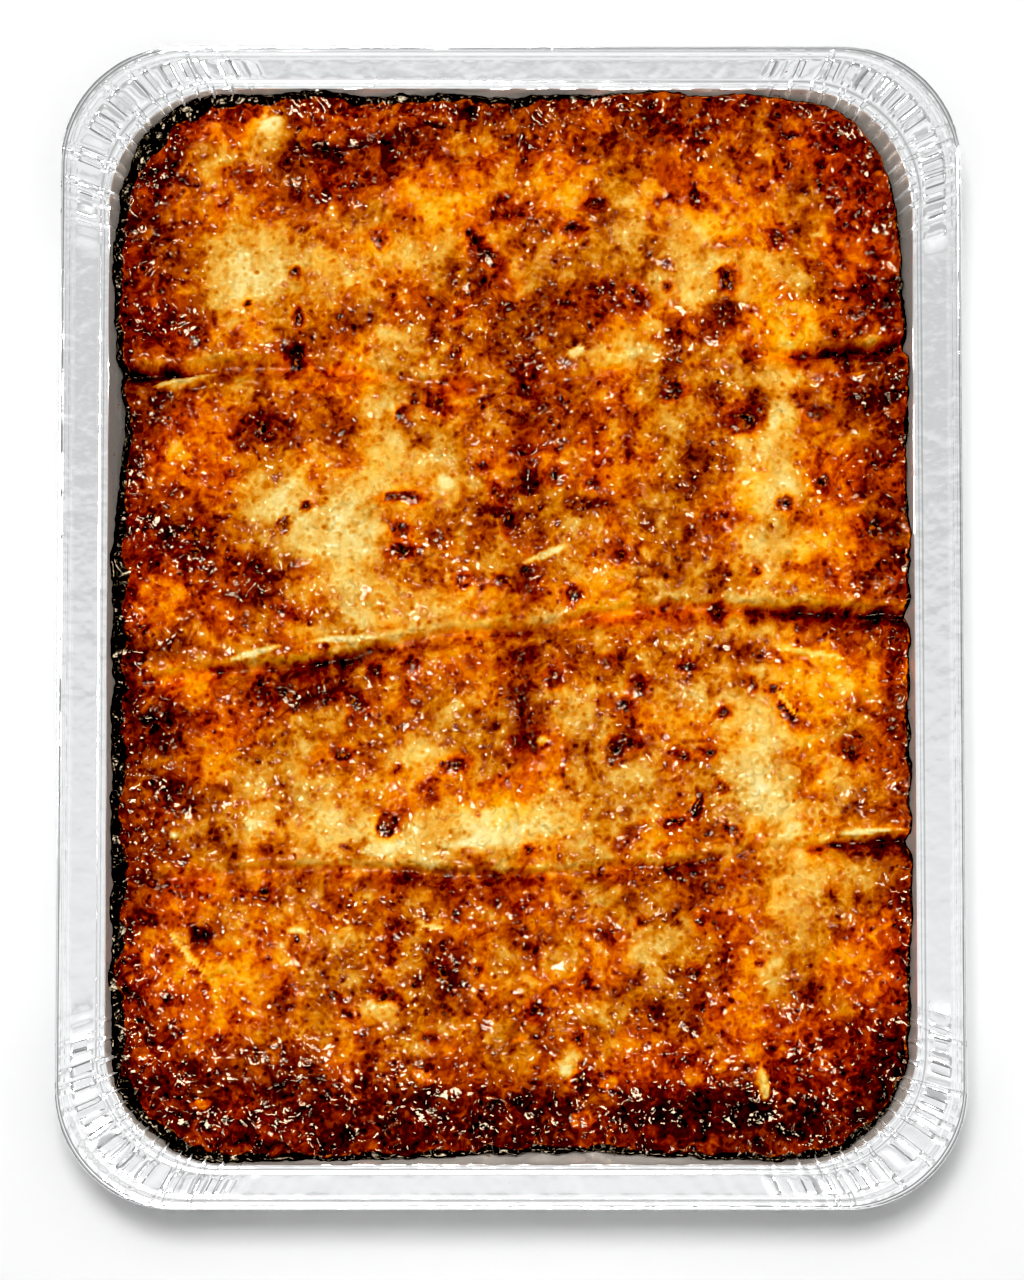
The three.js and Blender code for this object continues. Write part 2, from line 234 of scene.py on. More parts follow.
# ---- helpers for materials
class Nodes:
    """A node tree under construction. Its methods add a node and return the node's output."""

    def __init__(self, tree):
        self.tree = tree

    def add(self, kind, inputs=None, **settings):
        node = self.tree.nodes.new("ShaderNode" + kind)
        for key, value in settings.items():
            setattr(node, key, value)
        for key, value in (inputs or {}).items():
            self.put(node.inputs[key], value)
        return node

    def put(self, socket, value):
        if isinstance(value, bpy.types.NodeSocket):
            self.tree.links.new(value, socket)
        else:
            socket.default_value = value

    def maths(self, operation, first, second=0.0, third=0.0, clamp=False):
        node = self.add("Math", operation=operation, use_clamp=clamp)
        for socket, value in zip(node.inputs, (first, second, third)):
            self.put(socket, value)
        return node.outputs[0]

    def ramp(self, value, stops):
        """A ramp through the colours, three parts of light each, at their positions."""
        node = self.add("ValToRGB", {"Fac": value})
        line = node.color_ramp
        line.elements.remove(line.elements[1])
        for number, (position, colour) in enumerate(stops):
            stop = line.elements[0] if number == 0 else line.elements.new(position)
            stop.position = position
            stop.color = (*colour, 1)
        return node.outputs["Color"]


class Surface(Nodes):
    """A material under construction."""

    def __init__(self, name):
        self.material = bpy.data.materials.new(name)
        self.material.use_nodes = True
        super().__init__(self.material.node_tree)
        self.shader = self.tree.nodes["Principled BSDF"]
        self.place = self.add("TexCoord").outputs["Object"]
        self.kind = "3D"

    def set(self, **values):
        for key, value in values.items():
            self.put(self.shader.inputs[key.replace("_", " ")], value)

    def value(self, name):
        return self.add("Attribute", attribute_name=name).outputs["Fac"]

    def plus(self, *terms):
        total = terms[0]
        for term in terms[1:]:
            total = self.maths("ADD", total, term)
        return total

    def minus(self, first, second, clamp=False):
        return self.maths("SUBTRACT", first, second, clamp=clamp)

    def times(self, first, second):
        return self.maths("MULTIPLY", first, second)

    def blend(self, *parts):
        """The sum of values that are each given with a weight."""
        return self.plus(*(self.times(value, weight) for value, weight in parts))

    def between(self, value, low, high, to_low=0.0, to_high=1.0):
        node = self.add("MapRange", interpolation_type="SMOOTHSTEP")
        for socket, number in zip(node.inputs, (value, low, high, to_low, to_high)):
            self.put(socket, number)
        return node.outputs["Result"]

    def vector(self, operation, first, second):
        node = self.add("VectorMath", {0: first, 1: second}, operation=operation)
        return node.outputs[0]

    def shifted(self, by):
        return self.vector("ADD", self.place, by)

    def noise(self, size, detail=2.0, roughness=0.5, distortion=0.0, shift=0.0):
        inputs = {
            "Vector": self.shifted((shift, shift * 0.7, shift * 1.3)),
            "Scale": 1 / (size * MM),
            "Detail": detail,
            "Roughness": roughness,
            "Distortion": distortion,
        }
        return self.add("TexNoise", inputs, noise_dimensions=self.kind).outputs["Fac"]

    def warped(self, size, reach):
        """The object's coordinates, shifted this way and that by up to a reach."""
        inputs = {"Vector": self.shifted((0, 0, 0)), "Scale": 1 / (size * MM), "Detail": 1.0}
        wind = self.add("TexNoise", inputs, noise_dimensions=self.kind).outputs["Color"]
        centred = self.vector("SUBTRACT", wind, (0.5, 0.5, 0.5))
        scaled = self.add("VectorMath", {0: centred}, operation="SCALE")
        scaled.inputs["Scale"].default_value = 2 * reach * MM
        return self.vector("ADD", self.place, scaled.outputs[0])

    def spots(self, size, place):
        """The distance to the nearest of centres about a size apart, in sizes, and its chance."""
        inputs = {"Vector": place, "Scale": 1 / (size * MM)}
        node = self.add("TexVoronoi", inputs, voronoi_dimensions=self.kind)
        chance_of = self.add("SeparateColor", {0: node.outputs["Color"]})
        return node.outputs["Distance"], chance_of.outputs[0]

    def colours(self, value, stops):
        return self.ramp(value, [(position, linear(colour)) for position, colour in stops])

    def mix(self, share, first, second):
        node = self.add("Mix", data_type="RGBA", blend_type="MIX")
        self.put(node.inputs["Factor"], share)
        for socket, value in ((node.inputs[6], first), (node.inputs[7], second)):
            self.put(socket, (*linear(value), 1) if isinstance(value, tuple) else value)
        return node.outputs[2]

    def bump(self, height):
        """Relief from a height in millimetres."""
        inputs = {"Height": height, "Distance": MM, "Strength": 1.0}
        return self.add("Bump", inputs).outputs["Normal"]


def linear(colour):
    """Three screen values from 0 to 255 as the light that they stand for."""
    return tuple((part / 255) ** 2.2 for part in colour)


# ---- outlines
def wall_outline(z):
    fall = RIM_HEIGHT - z
    half_x = HALF_X - FLANGE_SIDE - fall * WALL_TAPER
    half_y = HALF_Y - FLANGE_END - fall * WALL_TAPER
    return half_x, half_y, CORNER_RADIUS - fall / RIM_HEIGHT * (CORNER_RADIUS - BASE_CORNER_RADIUS)


def grown(outline, by):
    return outline[0] + by, outline[1] + by, np.maximum(outline[2] + by, 1)


def distance_in(outline, x, y):
    half_x, half_y, radius = outline
    beyond_x = np.maximum(np.abs(x) - (half_x - radius), 0)
    beyond_y = np.maximum(np.abs(y) - (half_y - radius), 0)
    corner = radius - np.hypot(beyond_x, beyond_y)
    return np.minimum(np.minimum(half_x - np.abs(x), half_y - np.abs(y)), corner)


def into_outline(outline, share_x, share_y):
    half_x, half_y, radius = outline
    over_x = np.maximum(np.abs(share_x) * half_x - (half_x - radius), 0) / radius
    over_y = np.maximum(np.abs(share_y) * half_y - (half_y - radius), 0) / radius
    x = np.abs(share_x) * half_x - radius * over_x * (1 - np.sqrt(1 - over_y**2 / 2))
    y = np.abs(share_y) * half_y - radius * over_y * (1 - np.sqrt(1 - over_x**2 / 2))
    return np.sign(share_x) * x, np.sign(share_y) * y


# ---- the crust's form, as in the solid
def crust_form(x, y):
    edge = np.maximum(distance_in(wall_outline(EDGE_LEVEL), x, y), 0)
    end = (HALF_Y - FLANGE_END - np.abs(y)) / END_REACH
    climb = END_CLIMB * (1 - smoothstep(end, 0, 1))
    middle, middle_depth = eased(MIDDLE_CREASE, y)
    relief = -middle_depth * bell(x - middle, MIDDLE_WIDTH)
    away = np.minimum(np.abs(x - middle), edge)
    for crease in CREASES:
        along, depth = eased(crease, x)
        above = y - along
        relief = relief - depth * bell(above, CREASE_WIDTH)
        relief = relief + LIP * (depth / FULL_CREASE) * bell(above - LIP_REACH, LIP_WIDTH)
        relief = relief + CURL * (depth / FULL_CREASE) * bell(above + CURL_REACH, CURL_WIDTH)
        away = np.minimum(away, np.abs(above))
    dome = DOME * (1 - np.exp(-away / DOME_REACH))
    crag = CRAG * (1 + bell(edge, CRAG_BAND))
    uneven = LUMP * lumps(x / LUMP_SIZE, y / LUMP_SIZE)
    uneven = uneven + crag * lumps(x / CRAG_SIZE + CRAG_SHIFT, y / CRAG_SIZE)
    return EDGE_LEVEL + climb + dome + relief + uneven - SHOULDER_DROP * bell(edge, SHOULDER_REACH)


def crust_inset(x, y):
    inset = CLEARANCE + RAGGED * (0.5 + 0.5 * lumps(x / CRAG_SIZE, y / CRAG_SIZE + OUTLINE_SHIFT))
    for across, along, reach, depth in GAPS:
        inset = inset + depth * bell(np.hypot(x - across, y - along), reach)
    return inset


# ---- how the crust is baked
# Patches that are paler or browner than the rest: across, along, half sizes, a turn in degrees
# where there is one, and how much browner.
PATCHES = [
    # the far left portion
    (-72, 96, 14, 17, -0.36), (-45, 100, 14, 8, 10, -0.28), (-67, 135, 6, 8, -0.42),
    (-81, 129, 8, 6, 20, -0.34), (-55, 122, 22, 9, -5, 0.20), (-45, 133, 17, 3, 5, 0.30),
    (-95, 80, 14, 7, 0.2), (-65, 83, 8, 5, 0.06), (-91, 95, 8, 8, 0.05), (-59, 75, 4, 4, 0.45),
    (-98, 126, 7, 5, 0.2), (-93, 103, 9, 10, 0.2), (-88, 127, 18, 8, 0.1), (-38, 131, 14, 6, 0.1),
    (0, 119, 6, 8, 0.1), (-26, 106, 6, 6, 0.08), (-3, 106, 7, 6, -0.06), (-20, 118, 13, 9, -0.2),
    (-28, 101, 8, 6, -0.22), (-35, 77, 8, 6, -0.18), (-30, 130, 14, 6, 0.16),
    (-17, 92, 15, 5, 0.12), (-45, 86, 9, 5, 0.12),
    # the far right portion
    (10, 121, 13, 8, -0.2), (35, 118, 10, 8, -0.14), (33, 104, 9, 6, -0.1), (3, 97, 3, 8, -0.22),
    (31, 77, 9, 8, 20, -0.28), (51, 94, 8, 8, -0.32), (52, 107, 8, 7, -0.26),
    (70, 96, 11, 9, -0.24), (76, 82, 9, 6, -0.26), (63, 114, 9, 7, -0.08), (15, 87, 15, 9, 0.26),
    (37, 133, 17, 7, 0.2), (55, 84, 10, 5, 5, 0.3), (52, 94, 8, 6, 0.05), (96, 90, 9, 12, 0.2),
    (104, 77, 6, 12, -0.09), (80, 126, 12, 10, 0.1), (96, 118, 8, 18, 0.15),
    (-5, 142, 45, 5, -0.07), (0, 70, 13, 8, 0.18),
    # the second left portion
    (-50, 23, 15, 17, 10, -0.35), (-64, 34, 9, 8, -0.26), (-30, 42, 15, 13, -0.27),
    (-38, 60, 7, 6, -0.2), (-90, 47, 9, 9, -0.14), (-95, 59, 8, 8, 0.12), (-97, 8, 7, 8, -0.2),
    (-25, 5, 17, 5, 8, -0.26), (-67, 54, 11, 5, 0.26), (-46, 54, 6, 5, 0.2), (-26, 47, 7, 6, -0.07),
    (-92, 24, 13, 9, 0.32), (-71, 11, 15, 9, 0.34), (-45, 8, 10, 6, -0.12),
    (-94, 68, 9, 2.2, 6, -0.26), (-78, 71, 15, 5, 0.12), (-106, 46, 6, 12, 0.1),
    # the second right portion
    (69, 42, 11, 12, -0.38), (74, 57, 6, 6, -0.28), (73, 20, 10, 9, -0.24), (73, 68, 6, 5, -0.22),
    (89, 26, 9, 9, -0.14), (58, 17, 9, 5, -0.08), (42, 10, 9, 5, 0.1), (26, 18, 6, 9, -0.1),
    (20, 9, 15, 6, -0.2), (70, 8, 13, 4, -0.14), (3, 44, 5, 14, 0.18), (-2, 29, 6, 6, 0.2),
    (5, 12, 3.5, 9, 0.18), (18, 62, 11, 8, 0.1), (65, 58, 6, 6, 0.22), (91, 22, 7, 7, -0.06),
    (52, 40, 8, 12, 0.12), (97, 64, 10, 8, 0.26), (38, 26, 8, 12, 0.08), (101, 30, 7, 18, 0.14),
    (88, 1, 20, 4, -4, 0.14), (94, 46, 8, 6, 0.1),
    # the third left portion
    (-95, -15, 9, 3, -10, -0.2), (-74, -40, 9, 10, -0.12), (-54, -46, 13, 10, -0.16),
    (-70, -56, 3.5, 4.5, -0.3), (-50, -57, 13, 7, -0.24), (-35, -60, 6, 5, -0.34),
    (-48, -24, 5, 5, -0.2), (-27, -3, 17, 5, 4, -0.08), (60, -2, 22, 5, -0.1),
    (20, -3, 62, 4.5, 1, -0.07), (-19, -57, 14, 8, -0.3), (-24, -36, 9, 6, -0.34),
    (-34, -48, 9, 7, -0.06), (-102, -38, 7, 6, -0.08), (-15, -24, 9, 7, -0.14),
    (-55, -17, 17, 6, 4, 0.3), (-95, -27, 13, 7, 0.26), (-90, -45, 12, 6, -10, 0.2),
    (-100, -60, 8, 12, 0.1), (0, -20, 5, 10, 0.1),
    # the third right portion
    (0, -55, 12, 7.5, -0.46), (0, -38, 7, 5, 0.08), (12, -65, 17, 5, -0.07),
    (45, -50, 12, 6, -0.08), (14, -47, 8, 8, -0.2), (19, -23, 7, 7, -0.22), (35, -43, 7, 7, -0.24),
    (17, -58, 8, 5, -0.24), (65, -36, 10, 17, -12, -0.33), (73, -51, 10, 10, -0.3),
    (86, -16, 11, 11, -0.22), (48, -22, 12, 9, -0.12), (101, -14, 7, 7, -0.08),
    (10, -7, 12, 3.5, 4, 0.06), (104, -45, 10, 32, -0.12), (84, -37, 7, 12, 10, -0.16),
    (36, -27, 6, 6, 0.14),
    # the near right portion
    (79, -75, 9, 13, 5, -0.24), (22, -90, 13, 8, -0.06), (37, -89, 7, 8, -0.16),
    (20, -108, 11, 8, -0.1), (69, -97, 7, 11, -15, -0.18), (65, -108, 6, 7, -0.06),
    (64, -119, 4, 3, -0.2), (68, -125, 2.2, 5, 10, -0.3), (99, -90, 8, 10, -0.1),
    (4, -86, 13, 7, 0.12), (50, -68, 9, 3.5, 0.16), (52, -76, 14, 6, 0.08), (15, -75, 16, 5, -0.06),
    (55, -62, 10, 5, -0.07), (90, -88, 6, 10, 0.04), (90, -66, 8, 9, -0.16), (30, -82, 12, 5, 0.08),
    (50, -105, 11, 7, 0.12), (50, -121, 17, 6, 0.1), (26, -112, 7, 6, 0.05), (48, -134, 24, 7, 0.4),
    (76, -134, 14, 8, 0.4), (101, -122, 11, 16, 0.3), (80, -108, 14, 10, 0.12),
    (66, -121, 13, 6, 0.16),
    # the near left portion
    (-76, -97, 9, 5, 10, -0.24), (-93, -93, 7, 5, -0.1), (-55, -83, 8, 4, -0.12),
    (-54, -121, 10, 8, 0.06), (-39, -86, 6, 5, -0.08), (-52, -74, 8, 5, 0.06),
    (-26, -121, 10, 6, 0.08), (-37, -106, 5, 3.5, -0.22), (3, -123, 5, 4, -0.28),
    (15, -123, 4, 5, -0.24), (-17, -73, 22, 5, 3, 0.2), (-95, -116, 14, 12, 0.08),
    (-84, -127, 18, 9, 0.24), (-60, -134, 24, 9, 0.26), (-15, -134, 24, 8, 0.3),
    (-72, -112, 12, 7, 0.1), (-18, -94, 6, 9, 0.2), (22, -133, 9, 7, 0.14),
]

# Patches of a stronger orange, where the oil has taken up the sauce: across, along, half sizes.
ORANGES = [
    (-90, 50, 11, 14), (-97, 8, 9, 9), (-93, -15, 10, 5), (86, -16, 12, 12), (99, -92, 11, 14),
    (88, 25, 10, 14), (60, 116, 16, 10), (12, 122, 12, 8), (-22, 118, 12, 10), (74, 84, 10, 10),
    (96, 112, 9, 22), (-80, 138, 14, 6), (40, 3, 16, 4), (-88, -73, 12, 8), (45, -124, 12, 6),
    (85, -122, 14, 12), (0, -47, 8, 6), (66, -110, 12, 8), (-80, -98, 20, 12), (-50, 68, 14, 4),
]

# Burnt bubbles: across, along, half sizes and any turn.
BURNS = [
    (-59.5, 74, 3.2, 2.6), (-58.5, 84, 1.5, 2.4), (-59.5, 97, 1.5, 1.5), (-36, 106, 2.4, 2.4),
    (-10.3, 106.2, 2, 3.3, 15), (-5.3, 101.3, 3.4, 2, -38), (16.5, 109, 3, 2.3),
    (22.8, 115.8, 2.9, 1.9, 12), (-1, 114, 1.3, 1.5), (-14.5, 86, 1.3, 2.1), (-15, 75, 1.6, 1.5),
    (33.5, 91.3, 2.3, 1.9), (36, 88.3, 1.9, 1.5, -40), (14, 88, 2.1, 1), (59.5, 95, 2.7, 3.6, 25),
    (43, 93, 1.3, 1.2), (74, 107, 2.6, 2.5), (50.5, 118, 1.3, 4.2, 8), (87, 129, 2.2, 1.5, 20),
    (87, 123, 1.4, 1.2), (79, 137, 2.6, 1), (75, 125, 1.3, 1), (-86, 25, 2.6, 3),
    (-87, 19, 3.2, 2.5), (-63, 3.5, 2.3, 1.4, -20), (-68, 54, 1.8, 3.2), (-62, 27, 2.2, 2.2),
    (-56, 32, 1.5, 1.3), (-30, 57.5, 1.9, 2), (-20, 61, 2.9, 2.6, 30), (-32, 34.6, 3.3, 1.3, 8),
    (-27, 34.4, 2.5, 1.6, -12), (-30, 25.7, 2.3, 2.5), (-29.5, 20, 3.4, 2.1, 10),
    (-13, 12, 2.1, 2.1), (12, 41, 2.3, 2.6), (22, 38.6, 1.9, 1.4), (-1, 29, 1.5, 3.6),
    (-4, 36, 1.4, 3, 15), (-3, 12, 1.3, 1.9, 30), (17, 8, 2.1, 2.5), (29.7, 18, 1.8, 1.8),
    (-7.5, 43.5, 1.5, 1.4), (45, 64, 3, 2, 30), (64, 56, 3.6, 3.8), (84, 57.5, 2.6, 1.9),
    (84.5, 38.6, 2.9, 2.8), (97, 63, 2.9, 2, -20), (57, 3, 2.6, 3), (67, 14, 1.3, 1.3),
    (75, 33, 2.2, 2.4), (99, 25, 3, 3.2), (-69, -16, 2, 3.4), (-67, -22, 2.3, 2),
    (-43, -21.5, 4.2, 1.8, -32), (-44, -27, 1.3, 1.6), (-46, -36, 2.2, 1.8), (-27.5, -11, 1.9, 1.5),
    (-37, -13, 2.5, 1.6, -30), (-15.5, -38.8, 3.6, 2, 12), (-34, -55.5, 3, 3.2),
    (28, -34.6, 2.6, 3.1), (32.5, -33.3, 2.8, 1.4), (1, -33.5, 1.5, 2), (26.5, -10.6, 1.6, 1.6),
    (35, -17, 2.5, 2.4), (31, -22, 2.6, 1.5, 20), (12, -15, 2, 2.8), (48, -12, 2.3, 1.5),
    (58, -24.6, 1.6, 1.5), (66, -16, 1.2, 2.1, 20), (71.5, -18, 1.7, 1.5),
    (76, -24.5, 1.7, 4.4, 38), (93, -35, 2.9, 3), (54, -35.5, 2.1, 1.7), (46.5, -36.4, 2.6, 1.3),
    (57.5, -45, 1.9, 1.7), (61, -57, 2.2, 1.1, -30), (51, -50, 1.2, 3.5, -20), (45, -54, 3, 1.2),
    (-67, -74, 2, 2), (-48, -102, 2.1, 1.5), (-9, -95, 1.4, 1.9), (-22, -113.5, 2.2, 1.1, -10),
    (-18, -97, 1.8, 3.8, 20), (6.5, -106.5, 2.2, 2.5), (21, -98, 1.4, 1.8), (18.5, -114, 1.8, 2.4),
    (19, -126, 2.2, 2.4), (36, -82, 1.8, 1.4), (-34, -102, 3, 1.5), (67.5, -93, 1.4, 1.2),
    (50, -96, 2, 2.4), (52, -81, 1.5, 2), (-72, 88, 1.2, 1), (5, -62, 1.3, 1.3),
]

# Pale bits and strands of cheese: across, along, half sizes, any turn, and height.
BITS = [
    (-18, 39, 3, 2, -35, 1.1), (8.5, -32, 1.5, 1.4, 0.9), (-4, -53, 4.5, 3, 10, 0.8),
    (-36, -62, 5, 2, 8, 0.8), (-71, -55, 2, 1.6, 0.7), (-92, -58, 1.6, 1.4, 0.7),
    (43, 115.5, 2.2, 2.2, 1.6), (77, -57, 4, 2.6, 20, 0.6), (-21.5, -83, 4, 0.8, -16, 0.6),
    (-58.5, -84, 4, 0.8, 0.6), (-88, -90, 9, 0.8, -47, 0.7), (75, -22, 5.5, 0.8, -56, 0.5),
    (9, 19, 7, 1.2, 20, 0.8), (-66, 138, 4, 2.5, 20, 0.9), (-92, 68, 10, 1, 8, 0.8),
    (69, -126, 1.6, 5, 8, 0.8), (-70, -8, 8, 1, 15, 0.5), (-45, -4, 9, 1, 4, 0.5),
    (82, -8, 11, 0.9, -10, 0.5), (15, -123, 1.8, 2.6, 0.8), (-10, -60, 9, 1.4, 6, 0.5),
    (97, -57, 8, 0.8, 4, 0.5), (18, 75, 3, 1.6, 20, 0.6),
]

# Orange flakes of crust: across, along, half sizes, any turn, and height.
FLAKES = [
    (50, -124, 3.6, 2.4, -20, 0.7), (-24, -124, 3.2, 2.2, -35, 0.7), (27, -127, 2.4, 1.8, 10, 0.7),
    (-17, -117, 1.8, 1.3, 20, 0.7), (2, -115, 1.8, 1.2, 0.7), (57, -122, 2, 1.4, 30, 0.7),
    (-12, 12, 1.6, 1.1, 0.7), (20, -138, 3.4, 2.8, 0.7), (-84, -131, 3, 1.4, 10, 0.7),
]

# Holes torn in the crust: across, along, half sizes, any turn, and depth.
HOLES = [
    (-59.5, 74.5, 2.6, 2.2, 3.2), (-85, -85, 3.3, 2.1, -12, 3), (42.6, 116, 2.9, 3, 1.8),
    (4, 40, 2, 5, 0.5), (1, 28, 2.2, 3.4, 0.6), (3, -8, 5, 2.6, 0.8), (-22, 138.6, 5, 1, 2.2),
    (-11, 141, 2.4, 3.4, 20, 2.2), (-48, 132, 9, 1.1, 6, 2), (87, 129, 2, 1.4, 20, 1.6),
    (79, 137, 2.5, 0.9, 1.6), (-65, -127, 5, 0.9, 22, 1.6), (-53, -125, 5, 0.9, -12, 1.6),
    (-4, -133, 3, 1.2, -30, 1.4), (27, -124.5, 3.4, 0.9, 14, 1.6), (52, -64, 7, 1.5, 4, 0.6),
    (-92, 124, 5, 1.2, -30, 1.2), (-100, -26, 2.4, 1.6, 1.6),
]


def oval(x, y, across, along, half_x, half_y, turn=0):
    """The distance from an oval's centre, where 1 is its outline."""
    angle = math.radians(turn)
    dx, dy = x - across, y - along
    u = (dx * math.cos(angle) + dy * math.sin(angle)) / half_x
    v = (dy * math.cos(angle) - dx * math.sin(angle)) / half_y
    return np.hypot(u, v)


def patch(x, y, place):
    """1 in the middle of an oval, fading out past its outline."""
    return np.exp(-oval(x, y, *place) ** 3)


class Bake:
    """What the oven did to the crust at an array of places: relief and browning."""

    def __init__(self, x, y):
        self.x, self.y = self.place = x, y
        wind = Noise(3)
        (reach, size), (less, short) = WANDER, SHORT_WANDER
        warp_x = x + reach * wind.rough(x, y, size) + less * wind.rough(x + 90, y, short, 2)
        warp_y = y + reach * wind.rough(x, y + 70, size) + less * wind.rough(x, y - 50, short, 2)
        self.warp = warp_x, warp_y
        self.edge = np.maximum(distance_in(wall_outline(EDGE_LEVEL), x, y), 0)
        self.tone = self.patches()
        self.blisters()
        self.burns()
        self.bits()
        self.holes()
        self.creases()
        self.rim()
        self.fine()

    def patches(self):
        tone = PLAIN + 0.10 * Noise(5).rough(*self.place, 16)
        for *place, browner in PATCHES:
            tone += browner * patch(*self.warp, place)
        self.orange = 0.34 + 0.5 * Noise(8).rough(*self.place, 18)
        for place in ORANGES:
            self.orange += 0.8 * patch(*self.warp, place)
        strip = 0.12 * smoothstep(-self.x, 90, 103) + 0.1 * smoothstep(-self.y, 112, 125)
        return tone + strip + 0.16 * bell(self.edge, 14) + 0.12 * bell(self.edge, 6)

    def blisters(self):
        """Swollen bubbles of cheese, whose tops brown first, and small burst ones."""
        warp_x, warp_y = self.warp
        distance, (size, grown_by, kind) = cells(*self.warp, 7.0, 21)
        radius = 2.0 + 2.4 * size
        dome = np.clip(1 - (distance / radius) ** 2, 0, 1)
        self.relief = 0.9 * dome * grown_by * (kind > 0.4)
        self.tone += 0.16 * dome * (grown_by - 0.35) * (kind > 0.35)
        distance, (size, grown_by, kind) = cells(warp_x + 31, warp_y, 3.6, 22)
        radius = 1.3 + 0.9 * size
        dome = np.clip(1 - (distance / radius) ** 2, 0, 1)
        self.relief += 0.34 * dome * grown_by * (kind > 0.3)
        self.tone += 0.2 * dome * (grown_by - 0.5) * (kind > 0.3)
        freckle, (size, browner, kind_too) = cells(warp_x, warp_y + 53, 5.2, 23)
        spot = (kind_too > 0.5) * (1 - smoothstep(freckle, 0.2 + 0.4 * size, 1.0 + 0.9 * size))
        self.tone += (0.04 + 0.3 * browner**3) * spot * smoothstep(self.tone, 0.16, 0.5)
        burst = kind < 0.14
        self.relief -= 0.4 * burst * bell(distance, 1.0)
        self.tone += 0.2 * burst * bell(distance, 0.9)

    def burns(self):
        """Blistered bubbles that have burnt: a black core in a red-brown skin."""
        skin = Noise(31)
        fray = 0.24 * skin.rough(*self.place, 3.0, 2)
        self.char = np.zeros(self.x.shape)
        crumbled = 0.5 + 0.5 * skin.rough(self.x + 40, self.y, 2.4, 2)
        for place in BURNS:
            reach = oval(*self.place, *place) + fray
            core = 0.5 + 0.36 * crumbled - 0.8 * smoothstep(reach, 0.3, 1.0)
            self.char = np.maximum(self.char, core)
            inside = 1 - smoothstep(reach, 0.85, 1.12)
            self.tone += np.maximum(SCORCHED - self.tone, 0) * 0.85 * inside
            self.tone += 0.1 * (1 - smoothstep(reach, 1.1, 1.9))
            self.orange += 0.5 * bell(reach - 1.15, 0.4)
            self.relief += (0.4 + 0.6 * crumbled) * (1 - smoothstep(reach, 0.6, 1.2))

    def bits(self):
        """Pale bits and strands of cheese, and orange flakes, that stand on the crust."""
        fray = 0.16 * Noise(35).rough(*self.place, 2.6, 2)
        for table, tone, orange, solid in ((BITS, PALE, 0, 0.7), (FLAKES, FLAKY, 1, 0.85)):
            for *place, height in table:
                inside = 1 - smoothstep(oval(*self.place, *place) + fray, solid, 1.1)
                self.relief += height * inside
                self.tone += (tone - self.tone) * 0.9 * inside
                self.orange += orange * inside
                self.char *= 1 - inside

    def holes(self):
        fray = 0.2 * Noise(37).rough(*self.place, 3, 2)
        self.wet = np.zeros(self.x.shape)
        for *place, depth in HOLES:
            inside = 1 - smoothstep(oval(*self.place, *place) + fray, 0.55, 1.2)
            self.relief -= depth * inside
            # Inside a hole the crust is painted darker, the more so the deeper it goes: painted
            # shade.
            self.tone += (0.06 + 0.12 * depth) * inside
            self.wet = np.maximum(self.wet, inside)

    def creases(self):
        """Narrow fissures where the creases have opened, darkened with painted shade; painted shade
        along the near side of each crease and along the middle one; and lips where edges turn up,
        painted paler as a highlight.
        """
        wander = 0.9 * Noise(41).rough(*self.place, 7)
        for crease, fissures in zip(CREASES, FISSURES):
            along, depth = eased(crease, self.x)
            above = self.y - along + wander
            depth = depth / 3.2
            open_here = np.zeros(self.x.shape)
            for start, end, opening in fissures:
                stretch = smoothstep(self.x, start - 4, start) - smoothstep(self.x, end, end + 4)
                open_here = np.maximum(open_here, opening * stretch)
            # The open fissure is sunk, and painted dark: painted shade in the slit.
            fissure = open_here * bell(above, 0.75)
            self.relief -= 1.8 * fissure
            # Painted shade just on the crease's near side, darker where it has opened.
            shade = (0.02 + 0.16 * open_here) * depth * bell(above + 0.8, 2.4)
            self.tone += 0.5 * fissure + shade
            self.wet = np.maximum(self.wet, depth * bell(above + 1, 2))
            # The turned-up lip is raised, and painted paler: a painted highlight on it.
            lip = depth * bell(above - 2.9, 1.5)
            self.relief += 0.7 * lip
            self.tone -= 0.2 * lip
        middle, depth = eased(MIDDLE_CREASE, self.y)
        beside = self.x - middle + wander
        depth = depth / 2.4
        # Along the middle crease: a slight sinking, and painted shade.
        self.relief -= 0.3 * depth * bell(beside, 1.6)
        self.tone += 0.06 * depth * bell(beside, 3)
        self.wet = np.maximum(self.wet, depth * bell(beside, 2))

    def rim(self):
        """The charred black edge along the foil, wider on some stretches than on others. Its
        crumbs cling to the foil, so that they stand higher than the crust's own edge."""
        x, y = self.x, self.y
        left = smoothstep(-x, 60, 105)
        width = 0.9 + 2.5 * left * (1 - 0.7 * smoothstep(y, 38, 50))
        width += 1.3 * left * smoothstep(y, 84, 110)
        width += smoothstep(-y, 122, 143)
        width += 1.5 * smoothstep(y, 120, 140) * smoothstep(30 - x, 0, 30)
        width *= 1 + 0.5 * Noise(51).rough(x, y, 8)
        width *= 1 - 0.6 * smoothstep(x, 30, 60) * smoothstep(y, 100, 130)
        burnt = 1 - smoothstep(self.edge - width, -0.8, 0.8)
        self.char = np.maximum(self.char, burnt)
        crumbs = Noise(53)
        lumpy = np.abs(crumbs.rough(x, y, 3.6, 1))
        self.relief += burnt * (1.2 * lumpy - 0.2)
        self.relief += (SHOULDER_DROP + 1.8) * bell(self.edge, SHOULDER_REACH)
        near = bell(self.edge, 11)
        self.relief += 0.7 * near * (np.abs(crumbs.rough(x + 60, y, 5.5, 2)) - 0.25)

